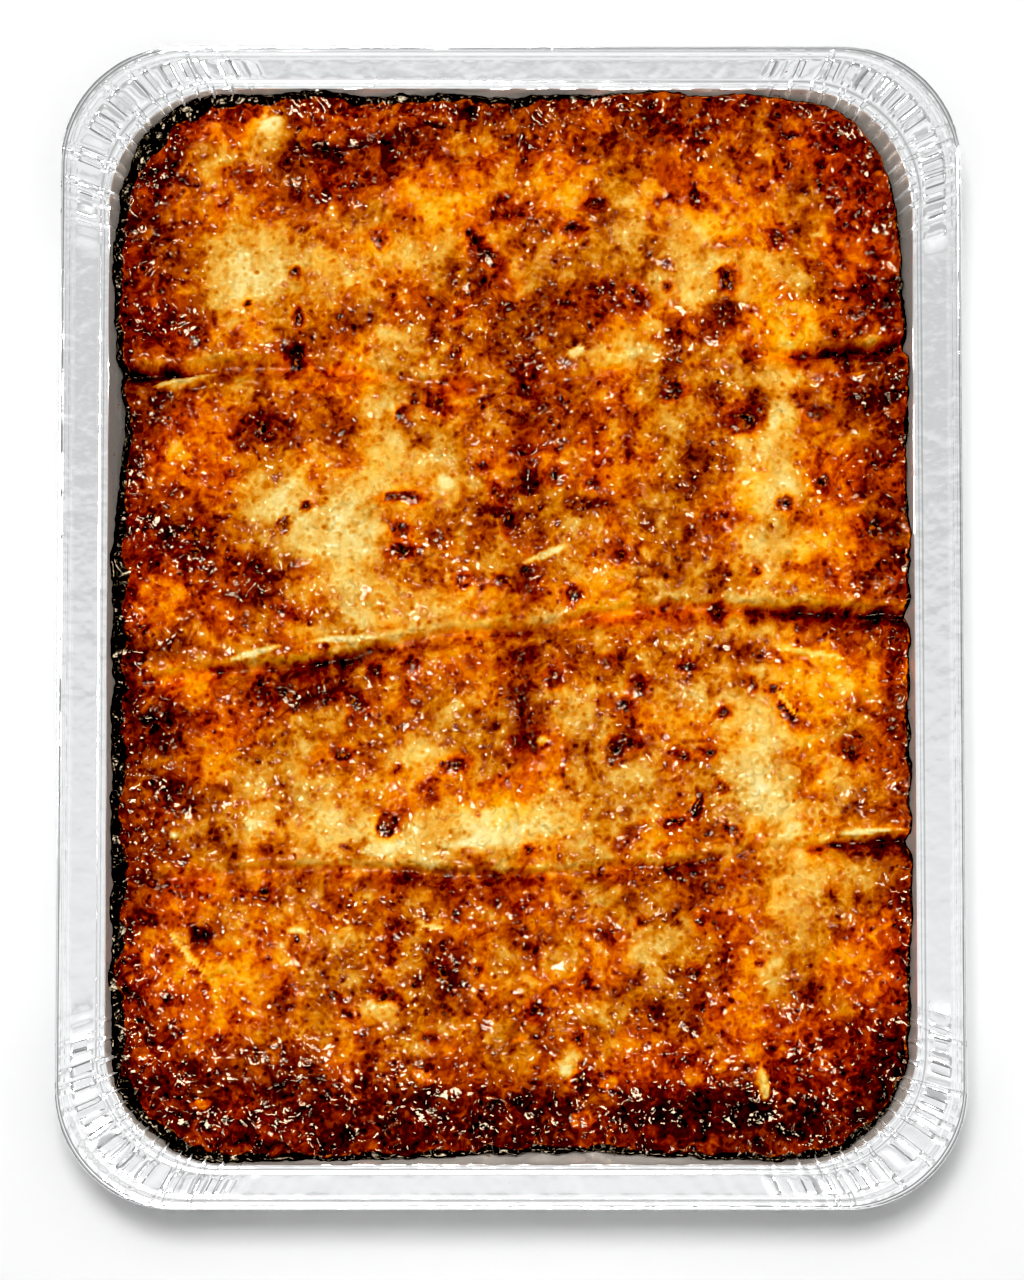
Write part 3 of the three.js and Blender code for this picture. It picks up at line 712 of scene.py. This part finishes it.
    def fine(self):
        """Wrinkles and melted shreds, finer than the blisters."""
        wrinkle = 1 - np.abs(Noise(61).rough(self.warp[0] * 1.2, self.warp[1], 4.2, 1))
        self.relief += 0.36 * (wrinkle - 0.6)
        grain = Noise(63).rough(*self.warp, 2.6, 1)
        self.relief += 0.06 * grain
        lively = smoothstep(self.tone, 0.1, 0.5)
        mottle = Noise(65).rough(*self.warp, 6.0)
        self.tone += 0.05 * grain + (0.07 + 0.13 * lively) * mottle
        self.tone -= 0.55 * np.maximum(self.tone - 0.7, 0)


# ---- the lasagne
# The browning of the sides: on the two upper rings of points and on the others.
BELOW = {"tone": (0.7, 0.7), "orange": (0.4, 0.4), "char": (0.9, 0.3), "wet": (0.3, 0.3)}


def lasagne_shape():
    columns, rows = np.linspace(-1, 1, CRUST_COLUMNS), np.linspace(-1, 1, CRUST_ROWS)
    share_x, share_y = np.meshgrid(columns, rows)
    top = wall_outline(EDGE_LEVEL)
    x, y = into_outline(top, share_x, share_y)
    bake = Bake(x, y)
    z = crust_form(x, y) + bake.relief
    ragged = 0.35 * Noise(71).rough(x, y, 2.4, 2)
    inset = np.maximum(crust_inset(x, y) - 0.6 + ragged, 0.1) - (z - EDGE_LEVEL) * WALL_TAPER
    half_x, half_y, radius = top
    x, y = into_outline((half_x - inset, half_y - inset, radius - inset), share_x, share_y)
    points = [np.stack([x, y, z], -1).reshape(-1, 3)]

    place = np.arange(CRUST_ROWS * CRUST_COLUMNS).reshape(CRUST_ROWS, CRUST_COLUMNS)
    corners = place[:-1, :-1], place[:-1, 1:], place[1:, 1:], place[1:, :-1]
    quads = [np.stack(corners, -1).reshape(-1, 4)]
    rim = np.concatenate([place[0, :-1], place[:-1, -1], place[-1, :0:-1], place[:0:-1, 0]])
    rim_x, rim_y = share_x.ravel()[rim], share_y.ravel()[rim]
    rim_height = z.ravel()[rim]
    values = {key: [getattr(bake, key).ravel()] for key in BELOW}
    upper, count = rim, place.size
    bottom = FOIL + CLEARANCE
    levels = [(0.5 * (EDGE_LEVEL + WAIST_LEVEL), -CLEARANCE - 1.0), (WAIST_LEVEL, -CLEARANCE - 0.6)]
    levels += [(HEEL + 1, -CLEARANCE), (bottom, -CLEARANCE - HEEL)]
    for number, (level, inwards) in enumerate(levels):
        ring_x, ring_y = into_outline(grown(wall_outline(level), inwards), rim_x, rim_y)
        ring_z = np.full(len(rim), level) + (0.25 * (rim_height - EDGE_LEVEL) if number == 0 else 0)
        points.append(np.stack([ring_x, ring_y, ring_z], -1))
        lower = count + np.arange(len(rim))
        quads.append(np.stack([upper, lower, np.roll(lower, -1), np.roll(upper, -1)], -1))
        upper, count = lower, count + len(rim)
        for key, (upper_value, lower_value) in BELOW.items():
            values[key].append(np.full(len(rim), upper_value if number < 2 else lower_value))
    points.append(np.array([[0, 0, bottom]]))
    for key in values:
        values[key].append(np.zeros(1))
    fan = np.stack([np.full(len(rim), count), np.roll(upper, -1), upper], -1)
    values = {key: np.concatenate(parts) for key, parts in values.items()}
    return np.concatenate(points) * MM, [np.concatenate(quads), fan], values


# The colours of plain and of oily cheese, from pale to black, and those of the charred bits.
CHEESE = [
    (0.0, (252, 234, 170)), (0.13, (238, 205, 118)), (0.27, (225, 165, 66)), (0.41, (206, 123, 30)),
    (0.55, (168, 78, 16)), (0.7, (116, 41, 8)), (0.84, (60, 16, 4)), (1.0, (18, 5, 3)),
]
OILY_CHEESE = [
    (0.0, (254, 220, 110)), (0.13, (252, 193, 58)), (0.27, (247, 158, 26)), (0.41, (232, 117, 12)),
    (0.55, (196, 73, 5)), (0.7, (138, 39, 3)), (0.84, (70, 17, 3)), (1.0, (18, 5, 3)),
]
SOOT = [(0.2, (8, 3, 3)), (0.4, (24, 7, 4)), (0.56, (84, 26, 7)), (0.7, (180, 84, 16))]


def crust_material():
    made = Surface("baked_cheese")
    # The fine pattern lies on the crust's two level directions. Below its edge it slants, so that
    # it runs down the sides as well.
    split = made.add("SeparateXYZ", {0: made.place})
    below = made.maths("MINIMUM", made.plus(split.outputs["Z"], -WAIST_LEVEL * MM), 0)
    across, along = made.plus(split.outputs["X"], below), made.plus(split.outputs["Y"], below)
    made.place = made.add("CombineXYZ", {"X": across, "Y": along}).outputs[0]
    made.kind = "2D"
    tone, orange = made.value("tone"), made.value("orange")
    char, wet = made.value("char"), made.value("wet")

    winding = made.warped(6.0, 1.3)
    bubbles, bubble_chance = made.spots(3.6, winding)
    drops, drop_chance = made.spots(3.2, made.shifted((0.4, 0.2, 0)))
    pits, pit_chance = made.spots(3.9, made.shifted((0.9, 0.5, 0)))
    swirl = made.noise(4.0, 0.0, 0.4, 0.8)
    pool = made.noise(4.2, 2.0, 0.55, 0.9, 0.7)
    grain = made.noise(1.6, 1.0, 0.5, shift=0.3)

    # Each bubble is a dome or, where it has burst, a ring round a dimple.
    burst = made.between(bubble_chance, 0.42, 0.46)
    dome = made.between(bubbles, 0.0, 0.58, 1.0, 0.0)
    width = made.maths("MULTIPLY_ADD", bubble_chance, 0.34, 0.04)
    gap = made.maths("ABSOLUTE", made.minus(bubbles, width))
    ring = made.times(made.between(gap, 0.0, 0.17, 1.0, 0.0), burst)
    dimple = made.times(made.between(bubbles, 0.0, 0.3, 1.0, 0.0), burst)
    swell = made.minus(dome, made.times(dome, burst))
    pit = made.between(pits, 0.06, 0.24, 1.0, 0.0)
    pit = made.times(pit, made.between(pit_chance, 0.4, 0.5))
    round_drop = made.minus(0.2, made.times(drops, drops), clamp=True)
    drop = made.times(round_drop, made.between(drop_chance, 0.1, 0.15))
    curl = made.maths("ABSOLUTE", made.minus(swirl, 0.5))
    strand = made.between(curl, 0.0, 0.1, 1.0, 0.0)

    # The pale cheese is smooth, and the browned cheese mottled.
    lively = made.between(tone, 0.1, 0.55, 0.4, 1.0)
    grainy, pooled = made.minus(grain, 0.5), made.minus(pool, 0.5)
    mottle = made.blend((grainy, 0.22), (pooled, 0.5), (made.minus(bubble_chance, 0.5), 0.16))
    marked = (pit, 0.15), (ring, -0.06), (dimple, 0.1), (strand, -0.04), (wet, 0.04)
    marked = [made.times(value, weight) for value, weight in marked]
    brownness = made.plus(tone, made.times(mottle, lively), *marked, 0.016)
    plain, strong = made.colours(brownness, CHEESE), made.colours(brownness, OILY_CHEESE)
    colour = made.mix(made.between(orange, 0.0, 0.9), plain, strong)
    frayed = made.plus(char, made.times(pooled, 0.6), made.times(grainy, 0.4))
    burnt = made.between(frayed, 0.4, 0.56)
    core = made.between(frayed, 0.6, 0.95, 1.0, 0.45)
    colour = made.mix(burnt, colour, made.colours(made.times(grain, core), SOOT))

    # Oil stands in drops on the pale cheese, and has dried in where it is brown.
    oily = made.between(tone, 0.35, 0.7, 2.2, 0.5)
    height = made.blend(
        (ring, 0.06), (swell, 0.36), (dimple, -0.08), (pit, -0.05),
        (strand, 0.02), (swirl, 0.5), (drop, oily),
    )
    rough = made.plus(made.times(grain, 0.04), 0.05, made.times(burnt, 0.12))
    made.set(Base_Color=colour, Roughness=rough, IOR=1.46, Normal=made.bump(height))
    made.set(Specular_IOR_Level=0.08, Specular_Tint=(1.0, 0.82, 0.56, 1.0))
    return made.material


def make_lasagne():
    points, faces, values = lasagne_shape()
    crust = mesh_object("baked_crust", points, faces, values)
    crust.data.materials.append(crust_material())
    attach(crust, "root")
    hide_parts("lasagne")


# ---- the foil tray
ARC = math.pi / 2 * CORNER_RADIUS
CORNER_RUN = PLEAT_RUN + 3  # how far a corner's stretch goes on along each side
FOLD_STEPS = (-1.5, -1.0, 0.0, 1.0, 1.5)  # the places of a fold's stations, in half widths
PANEL_STATIONS = 5
END_STEP = 1.0
SIDE_STEP = 4.0
WALL_TOP = 0.3  # as a share of the way from the floor's edge to the rolled edge
KNEES = (0.36, 0.47, 0.82)  # where the folds bend, as such shares
FAN = 7.8  # how far the folds draw together at a corner, from the outer edge to the wall
SHARP_FOLD = 26  # degrees: a sharper bend shows as an edge

# The foil's parts, as its material tells them apart.
FLOOR, WALL, FLANGE, OUTSIDE = 0.0, 1.0, 2.0, 3.0
# The levels of the rings on the wall's two sides, and the rings under the flange, in from its edge.
INNER_LEVELS = [
    FOIL + HEEL, 14.0, 26.0, 34.0, 38.0, 40.5, 42.0, 43.5, 44.8, 46.0, 47.2, 48.2, 49.0, 49.5,
    49.75,
]
OUTER_LEVELS = [48.0, 44.0, 38.0, 30.0, 20.0, HEEL]
FLOOR_SHARES = [0.33, 0.66]
# The beads of the flange, in from the outer edge.
INNER_BEAD = 12.0
OUTER_BEAD = 2.3
UNDER_DEPTHS = [2.4, 3.4, 4.6, 10.6, 11.2, INNER_BEAD, 12.8]
# The rolled edge: in from the outer edge, and above the land.
ROLL = [
    (1.35, 0.08), (1.2, 0.02), (0.95, -0.2), (0.75, -0.22), (0.5, -0.3), (0.2, -0.6), (0.05, -1.0),
    (0.0, -1.35), (0.15, -1.65), (0.5, -1.8), (1.0, -1.7),
]


class Gather:
    """The stations round the tray, anticlockwise from the corner at +X +Y. At the corners they run
    along the gathered folds, which are uneven and bend where they cross a bead."""

    def __init__(self):
        chances = np.random.default_rng(81)
        count = PLEATS + 2
        shape = (4, count)
        spacing = (ARC + 2 * PLEAT_RUN) / PLEATS
        number = np.arange(count)
        real = ((number > 0) & (number < count - 1)).astype(float)
        centre = (number - 0.5) * spacing - PLEAT_RUN + chances.uniform(-1.0, 1.0, shape)
        ends = np.where(number == 0, -CORNER_RUN, ARC + CORNER_RUN)
        self.centre = np.where(real > 0, centre, ends)
        fade = np.clip(0.35 + 0.3 * (np.minimum(number, count - 1 - number) - 1), 0, 1) * real
        self.strength = chances.uniform(0.55, 1.2, shape) * fade
        self.lean = chances.uniform(-1.5, 1.5, shape) * real
        self.width = chances.uniform(0.45, 1.15, shape) * real
        self.knee = chances.uniform(-0.6, 0.6, (3, *shape)) * real
        self.tilt = chances.uniform(-1, 1, shape)
        self.bow = chances.uniform(-0.2, 1, shape)
        self.dip = chances.uniform(-0.5, 0.9, shape)
        rows = []
        for corner in range(4):
            for left in range(count):
                if left == 0:
                    rows.append((corner, 0, 0, 0, 0, 0, -1))
                elif left < count - 1:
                    rows += [(corner, left, left, step, step, 0, -1) for step in FOLD_STEPS]
                if left < count - 1:
                    shares = (np.arange(PANEL_STATIONS) + 1) / (PANEL_STATIONS + 1)
                    steps = FOLD_STEPS[-1], FOLD_STEPS[0]
                    rows += [(corner, left, left + 1, *steps, share, -1) for share in shares]
            side = TRAY_WIDTH if corner % 2 == 0 else TRAY_LENGTH
            straight = side - 2 * (CORNER_RADIUS + CORNER_RUN)
            steps = round(straight / (END_STEP if corner % 2 == 0 else SIDE_STEP))
            rows += [(corner, count - 1, count - 1, 0, 0, 0, step / steps) for step in range(steps)]
        table = np.array(rows, float).T
        self.corner, self.left, self.right = (line.astype(int) for line in table[:3])
        self.from_left, self.from_right, self.blend, self.share = table[3:]
        self.count = len(self.corner)
        self.straight = self.share >= 0
        self.on_end = self.straight & (self.corner % 2 == 0)
        self.on_fold = ~self.straight & (self.left == self.right) & (self.left > 0)
        self.on_panel = self.left != self.right
        chances.uniform(-1, 1, self.count)  # unused, but the draws after it depend on it
        self.chances = chances

    def travelled(self, height):
        """How far along its corner's stretch each station is, at a height."""
        centre = self.centre + self.lean * (height - WALL_TOP)
        for zone, at in enumerate(KNEES):
            centre = centre + self.knee[zone] * smoothstep(height, at, at + 0.05)
        width = self.width * (0.55 + 0.45 * smoothstep(height, 0.3, 0.45))
        first = centre[self.corner, self.left] + width[self.corner, self.left] * self.from_left
        last = centre[self.corner, self.right] + width[self.corner, self.right] * self.from_right
        place = first + (last - first) * self.blend
        return place + self.fanned(height) * (1 - 2 * np.clip(place / ARC, 0, 1))

    def fanned(self, height):
        return FAN * min(1.0, (1 - height) / (1 - WALL_TOP))

    def corner_place(self, outline, corner, travelled):
        half_x, half_y, radius = outline
        sign_x = np.where((corner == 1) | (corner == 2), -1, 1)
        sign_y = np.where(corner >= 2, -1, 1)
        turn = (corner + np.clip(travelled / ARC, 0, 1)) * math.pi / 2
        out_x, out_y = np.cos(turn), np.sin(turn)
        past = np.where(travelled < 0, travelled, np.maximum(travelled - ARC, 0))
        x = sign_x * (half_x - radius) + radius * out_x - out_y * past
        y = sign_y * (half_y - radius) + radius * out_y + out_x * past
        return x, y, out_x, out_y

    def around(self, outline, height):
        x, y, out_x, out_y = self.corner_place(outline, self.corner, self.travelled(height))
        following = np.full(self.count, -CORNER_RUN + self.fanned(height))
        far_x, far_y, *_ = self.corner_place(outline, (self.corner + 1) % 4, following)
        share = np.maximum(self.share, 0)
        return x + (far_x - x) * share, y + (far_y - y) * share, out_x, out_y

    def fold(self, middle, shoulder):
        """The folds' own form: its height at a fold's middle and at its two edges."""
        edge = np.where(np.abs(self.from_left) == 1, shoulder, 0.0)
        profile = np.where(self.from_left == 0, middle, edge)
        return self.strength[self.corner, self.left] * profile * self.on_fold

    def flat_fold(self):
        dip = self.dip[self.corner, self.left]
        return self.fold(1 - 0.6 * np.maximum(dip, 0), 1.0)

    def panel(self):
        """The tilt and the bow of each stretch between two folds."""
        tilt = self.tilt[self.corner, self.left] * (self.blend - 0.5)
        bow = self.bow[self.corner, self.left] * (1 - 4 * (self.blend - 0.5) ** 2)
        return (tilt + 0.45 * bow) * self.on_panel


def flange_profile(depth):
    """How far the flange is above its land, by the distance in from its outer edge."""
    inner = 0.13 * bell(depth - INNER_BEAD, 0.45) - 0.07 * bell(depth - INNER_BEAD + 0.85, 0.3)
    inner -= 0.08 * bell(depth - INNER_BEAD - 0.8, 0.25)
    outer = 0.16 * bell(depth - OUTER_BEAD, 0.6) - 0.08 * bell(depth - OUTER_BEAD - 1.1, 0.35)
    outer += 0.03 * bell(depth - OUTER_BEAD - 2.4, 0.3)
    return float(inner + outer - 0.15 * max(0.0, depth - 13.0))


def flange_depths():
    steps = [np.arange(13.7, 10.6, -0.17), np.arange(10.6, 5.2, -0.9), np.arange(5.2, 1.5, -0.22)]
    return np.concatenate(steps)


def tray_rings(gather):
    """The rings of points from the middle of the floor, up the inside, over the flange, round the
    rolled edge, back under the flange and down the outside to the middle of the base."""
    crinkle = Noise(91)
    x, y, *_ = gather.around((HALF_X, HALF_Y, CORNER_RADIUS), 1.0)
    length = np.concatenate([[0], np.cumsum(np.hypot(np.diff(x), np.diff(y)))])
    end_fade = gather.on_end * smoothstep(np.minimum(gather.share, 1 - gather.share), 0, 0.05)
    near_dent = smoothstep(-y, 100, 140) * bell(x - 14, 62)
    gathered = (~gather.straight).astype(float)
    rings, parts, ridge_highlights = [], [], []

    # Each ring takes a share of the painted highlight on the folds' ridges, which the foil's
    # material paints matt white.
    def ring(outline, z, height, push=0.0, rise=0.0, part=FLOOR, ridge_highlight=0.0):
        x, y, out_x, out_y = gather.around(outline, height)
        rings.append(np.stack([x + out_x * push, y + out_y * push, z + rise + 0 * x], -1))
        parts.append(np.full(gather.count, part))
        ridge_highlights.append(ridge_highlight * gather.fold(1, 0.6))

    def flange(across):
        return HALF_X - across * FLANGE_SIDE, HALF_Y - across * FLANGE_END, CORNER_RADIUS

    def waves(row, size):
        return crinkle(length / size, np.full(gather.count, row))

    def crumple(z):
        """How far the walls of the short ends are crushed in, most in the near one's middle."""
        facets = np.abs(waves(z * 0.16, 9.0)) + 0.5 * np.abs(waves(z * 0.3 + 40, 4.0))
        pushed = (0.5 + 1.9 * near_dent) * smoothstep(50 - z, 0, 7)
        return end_fade * (pushed * (0.55 + 0.6 * facets) + 0.2 * waves(z * 0.3, 5.0))

    base = grown(wall_outline(0), -HEEL)
    for share in FLOOR_SHARES:
        ring([size * share for size in base], FOIL, 0)
    ring(grown(base, -0.2), FOIL, 0)
    ring(grown(base, 0.4 * HEEL), FOIL + 0.08 * HEEL, 0)
    ring(grown(base, 0.7 * HEEL), FOIL + 0.28 * HEEL, 0, push=-0.3 * gather.fold(1, 0.4))
    for z in INNER_LEVELS:
        drawn_in = 1.2 + 0.6 * smoothstep(z, 45.5, 48)
        push = -drawn_in * gather.fold(1, 0.3) - 0.35 * gather.panel()
        push = push - 0.14 * waves(z * 0.05, 21.0)
        push = push * (1 - 0.15 * smoothstep(z, 49, 50)) - crumple(z) * smoothstep(z, 30, 40)
        ring(wall_outline(z), z, WALL_TOP * z / RIM_HEIGHT, push=push, part=WALL, ridge_highlight=1.0)

    # From the wall's top to the outer edge. Depth is the distance from that edge.
    for row, depth in enumerate(flange_depths()):
        across = depth / FLANGE_SIDE
        height = WALL_TOP + (1 - WALL_TOP) * (1 - across)
        z = RIM_HEIGHT + flange_profile(depth)
        on_land = smoothstep(depth, 4.4, 5.4) * (1 - smoothstep(depth, 9.9, 10.9))
        on_shoulder = bell(depth - 13.6, 0.8)
        on_bead = max(bell(depth - 2.2, 1.2), bell(depth - INNER_BEAD, 0.9))
        rise = (0.12 + 0.4 * on_land) * gather.flat_fold() + 0.6 * on_shoulder * gather.fold(1, 0.4)
        rise += gather.panel() * (0.14 + 0.85 * on_land + 0.3 * on_shoulder)
        rise += on_bead * gathered * 0.016 * gather.chances.uniform(-1, 1, gather.count)
        rise += on_land * gathered * 0.03 * waves(row * 0.5, 3.0)
        crushed = on_land * 0.09 * waves(row * 0.03, 2.6) + 0.05 * on_shoulder * waves(row, 4.0)
        rise += end_fade * crushed
        push = -1.5 * gather.fold(1, 0.3) * smoothstep(depth, 11.8, 13.8)
        # Near the shoulder the folds take the painted highlight on their ridges.
        ridge_highlight = smoothstep(depth, 12.6, 13.6)
        ring(flange(across), z, height, push=push, rise=rise, part=FLANGE, ridge_highlight=ridge_highlight)

    dent = 0.012 * gathered * gather.chances.uniform(-1, 1, gather.count)
    dent += 0.03 * waves(8.0, 6.0)
    for depth, level in ROLL:
        edge = flange(depth / FLANGE_SIDE)
        ring(edge, RIM_HEIGHT + level, 1.0, push=-dent, rise=dent, part=FLANGE)
    for depth in UNDER_DEPTHS:
        height = WALL_TOP + (1 - WALL_TOP) * (1 - depth / FLANGE_SIDE)
        rise = 0.24 * gather.flat_fold() + 0.5 * gather.panel()
        level = RIM_HEIGHT - FOIL + flange_profile(depth) - 0.3
        ring(flange(depth / FLANGE_SIDE), level, height, rise=rise, part=OUTSIDE)
    for z in OUTER_LEVELS:
        push = -1.0 * gather.fold(1, 0.25) - 0.3 * gather.panel()
        ring(grown(wall_outline(z), FOIL), z, WALL_TOP * z / RIM_HEIGHT, push=push, part=OUTSIDE)
    push = -0.3 * gather.fold(1, 0.4)
    ring(grown(base, 0.7 * HEEL + 0.3), 0.27 * HEEL, 0, push=push, part=OUTSIDE)
    ring(grown(base, 0.4 * HEEL + 0.2), 0.07 * HEEL, 0, part=OUTSIDE)
    ring(base, 0.0, 0, part=OUTSIDE)
    for share in reversed(FLOOR_SHARES):
        ring([size * share for size in base], 0.0, 0, part=OUTSIDE)
    return rings, parts, ridge_highlights


def tray_shape():
    gather = Gather()
    rings, parts, ridge_highlights = tray_rings(gather)
    points = np.concatenate([[[0, 0, FOIL]], *rings, [[0, 0, 0]]])
    around, last = gather.count, len(points) - 1
    place = 1 + np.arange(len(rings) * around).reshape(len(rings), around)
    following = np.roll(place, -1, axis=1)
    quads = np.stack([place[:-1], place[1:], following[1:], following[:-1]], -1).reshape(-1, 4)
    inner = np.stack([np.zeros(around, int), place[0], following[0]], -1)
    outer = np.stack([np.full(around, last), following[-1], place[-1]], -1)
    values = {
        "part": np.concatenate([[FLOOR], *parts, [OUTSIDE]]),
        "ridge_highlight": np.concatenate([[0.0], *ridge_highlights, [0.0]]),
    }
    return points * MM, [quads, np.concatenate([inner, outer])], values


def foil_material():
    made = Surface("pressed_foil")
    part = made.value("part")
    height_above = made.add("SeparateXYZ", {0: made.place}).outputs["Z"]
    worn = made.noise(7.0, 2.0, 0.6)
    grain = made.noise(0.8, 1.0, 0.5)
    height = made.blend((worn, 0.2), (grain, 0.01))

    # Baked-on grease: a brown film on the wall just above the food, and darker flecks.
    inside = made.times(made.between(part, 0.4, 0.9), made.between(part, 2.9, 2.2))
    level = made.between(height_above, 0.0425, 0.0495, 1.0, 0.0)
    blotch = made.noise(6.0, 3.0, 0.65, 0.8, 0.2)
    film = made.times(made.between(made.plus(made.times(level, 0.3), blotch), 0.75, 1.1), inside)
    fleck = made.noise(1.9, 2.0, 0.6, 0.5, 0.6)
    low = made.between(height_above, 0.045, 0.0508, 1.0, 0.0)
    fleck = made.times(made.between(made.plus(fleck, made.times(low, 0.1)), 0.76, 0.8), inside)
    haze = made.times(made.between(part, 0.4, 0.9), made.between(part, 1.9, 1.4))
    colour = made.mix(made.times(film, 0.5), (246, 247, 248), (170, 112, 62))
    colour = made.mix(made.times(haze, 0.75), colour, (224, 208, 193))
    # The folds' ridges are painted matt white: a painted highlight for the light that the bent foil
    # catches along them.
    ridge_highlight = made.between(made.value("ridge_highlight"), 0.3, 0.7)
    colour = made.mix(ridge_highlight, colour, (247, 248, 249))
    colour = made.mix(fleck, colour, (120, 52, 14))
    rough = made.plus(0.06, made.times(worn, 0.04), made.times(haze, 0.1), made.times(fleck, 0.25))
    dull = made.maths("MAXIMUM", made.plus(made.times(film, 0.25), made.times(haze, 0.68)), fleck)
    dull = made.maths("MAXIMUM", dull, made.times(ridge_highlight, 0.85))
    made.set(Base_Color=colour, Metallic=made.minus(1.0, dull, clamp=True))
    made.set(Roughness=rough, Normal=made.bump(height))
    return made.material


def make_tray():
    points, faces, values = tray_shape()
    tray = mesh_object("pressed_foil_tray", points, faces, values)
    tray.data.set_sharp_from_angle(angle=math.radians(SHARP_FOLD))
    tray.data.materials.append(foil_material())
    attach(tray, "root")
    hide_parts("foil_tray")


# ---- the stage
FLOOR_SIZE = 3.0


def make_floor():
    half = FLOOR_SIZE / 2
    corners = [(-half, -half, 0), (half, -half, 0), (half, half, 0), (-half, half, 0)]
    floor = mesh_object("floor", corners, [[(0, 1, 2, 3)]])
    made = Surface("pale_floor")
    shade = made.noise(40.0, 2.0)
    made.set(Base_Color=made.mix(shade, (243, 243, 243), (245, 245, 245)))
    made.set(Roughness=0.9, Specular_IOR_Level=0.0)
    floor.data.materials.append(made.material)


# The lamps: place, size across and along, and power. The shining ones are only mirrored, and the
# other two are never mirrored.
LAMPS = {
    "key": ((-0.05, 0.2, 1.7), (0.24, 0.26), 17.5),
    "fill": ((0, 0, 1.4), (1.2, 1.2), 11.6),
    "shine_near": ((-0.12, -0.6, 0.9), (0.42, 0.24), 70),
    "shine_left": ((-0.75, 0.1, 0.75), (0.13, 0.2), 16),
    "shine_right": ((0.85, 0.3, 0.6), (0.1, 0.2), 12),
    "shine_far": ((-0.15, 0.85, 0.75), (0.24, 0.12), 16),
}
LAMP_AIM = (0, 0, 0.04)

# What the foil mirrors: the brightness by the height above the horizon, from 0 to 1 straight up.
SKY = [
    (0.0, 0.25), (0.05, 0.2), (0.3, 0.3), (0.55, 0.28), (0.65, 0.5), (0.88, 0.6), (0.92, 0.97),
    (0.965, 0.97), (0.985, 0.85), (1.0, 0.85),
]
# How bright the panel overhead is, from the near end at 0 to the far one at 1.
PANEL = [
    (0.36, 1.06), (0.44, 1.04), (0.63, 0.96), (0.7, 0.84), (0.77, 0.74), (0.84, 0.86), (1.0, 0.95),
]


def grey(levels):
    return [(position, (level,) * 3) for position, level in levels]


def make_lamp(name, place, size, power):
    light = bpy.data.lights.new(name, "AREA")
    light.shape = "RECTANGLE"
    light.size, light.size_y = size
    light.energy = power
    lamp = bpy.data.objects.new(name, light)
    lamp.location = place
    lamp.rotation_euler = (Vector(LAMP_AIM) - Vector(place)).to_track_quat("-Z", "Y").to_euler()
    lamp.visible_glossy = name.startswith("shine")
    lamp.visible_diffuse = not lamp.visible_glossy
    bpy.context.scene.collection.objects.link(lamp)


def make_light():
    world = bpy.data.worlds.new("studio")
    bpy.context.scene.world = world
    world.use_nodes = True
    world.cycles_visibility.diffuse = False
    made = Nodes(world.node_tree)
    place = made.add("TexCoord").outputs["Generated"]
    split = made.add("SeparateXYZ", {0: place})
    sky = made.ramp(split.outputs["Z"], grey(SKY))
    along = made.maths("MULTIPLY_ADD", split.outputs["Y"], 2.0, 0.5)
    parts = {"Fac": 1.0, "Color1": sky, "Color2": made.ramp(along, grey(PANEL))}
    light = made.add("MixRGB", parts, blend_type="MULTIPLY")
    background = made.tree.nodes["Background"]
    made.put(background.inputs["Color"], light.outputs["Color"])
    background.inputs["Strength"].default_value = 1.0
    for name, lamp in LAMPS.items():
        make_lamp(name, *lamp)


# ---- the camera
BLACK_LEVEL = 0.011  # deep shades are printed black
CAMERA_DISTANCE = 1.2
CAMERA_TILT = 3.8  # degrees from straight down, towards the near end
VIEW_HEIGHT = 0.3506  # what the frame's long side covers at the rim
AIM = (0.0003, -0.0048, RIM_HEIGHT * MM)


def make_camera():
    data = bpy.data.cameras.new("camera")
    data.sensor_width = 36
    data.lens = data.sensor_width * CAMERA_DISTANCE / VIEW_HEIGHT
    camera = bpy.data.objects.new("camera", data)
    tilt = math.radians(CAMERA_TILT)
    back = Vector((0, -math.sin(tilt), math.cos(tilt)))
    camera.location = Vector(AIM) + back * CAMERA_DISTANCE
    camera.rotation_euler = (tilt, 0, 0)
    bpy.context.scene.collection.objects.link(camera)
    bpy.context.scene.camera = camera


make_camera()
make_lasagne()
make_tray()
make_floor()
make_light()
view = bpy.context.scene.view_settings
view.view_transform = "Standard"
view.use_curve_mapping = True
view.curve_mapping.black_level = [BLACK_LEVEL] * 3
view.curve_mapping.update()
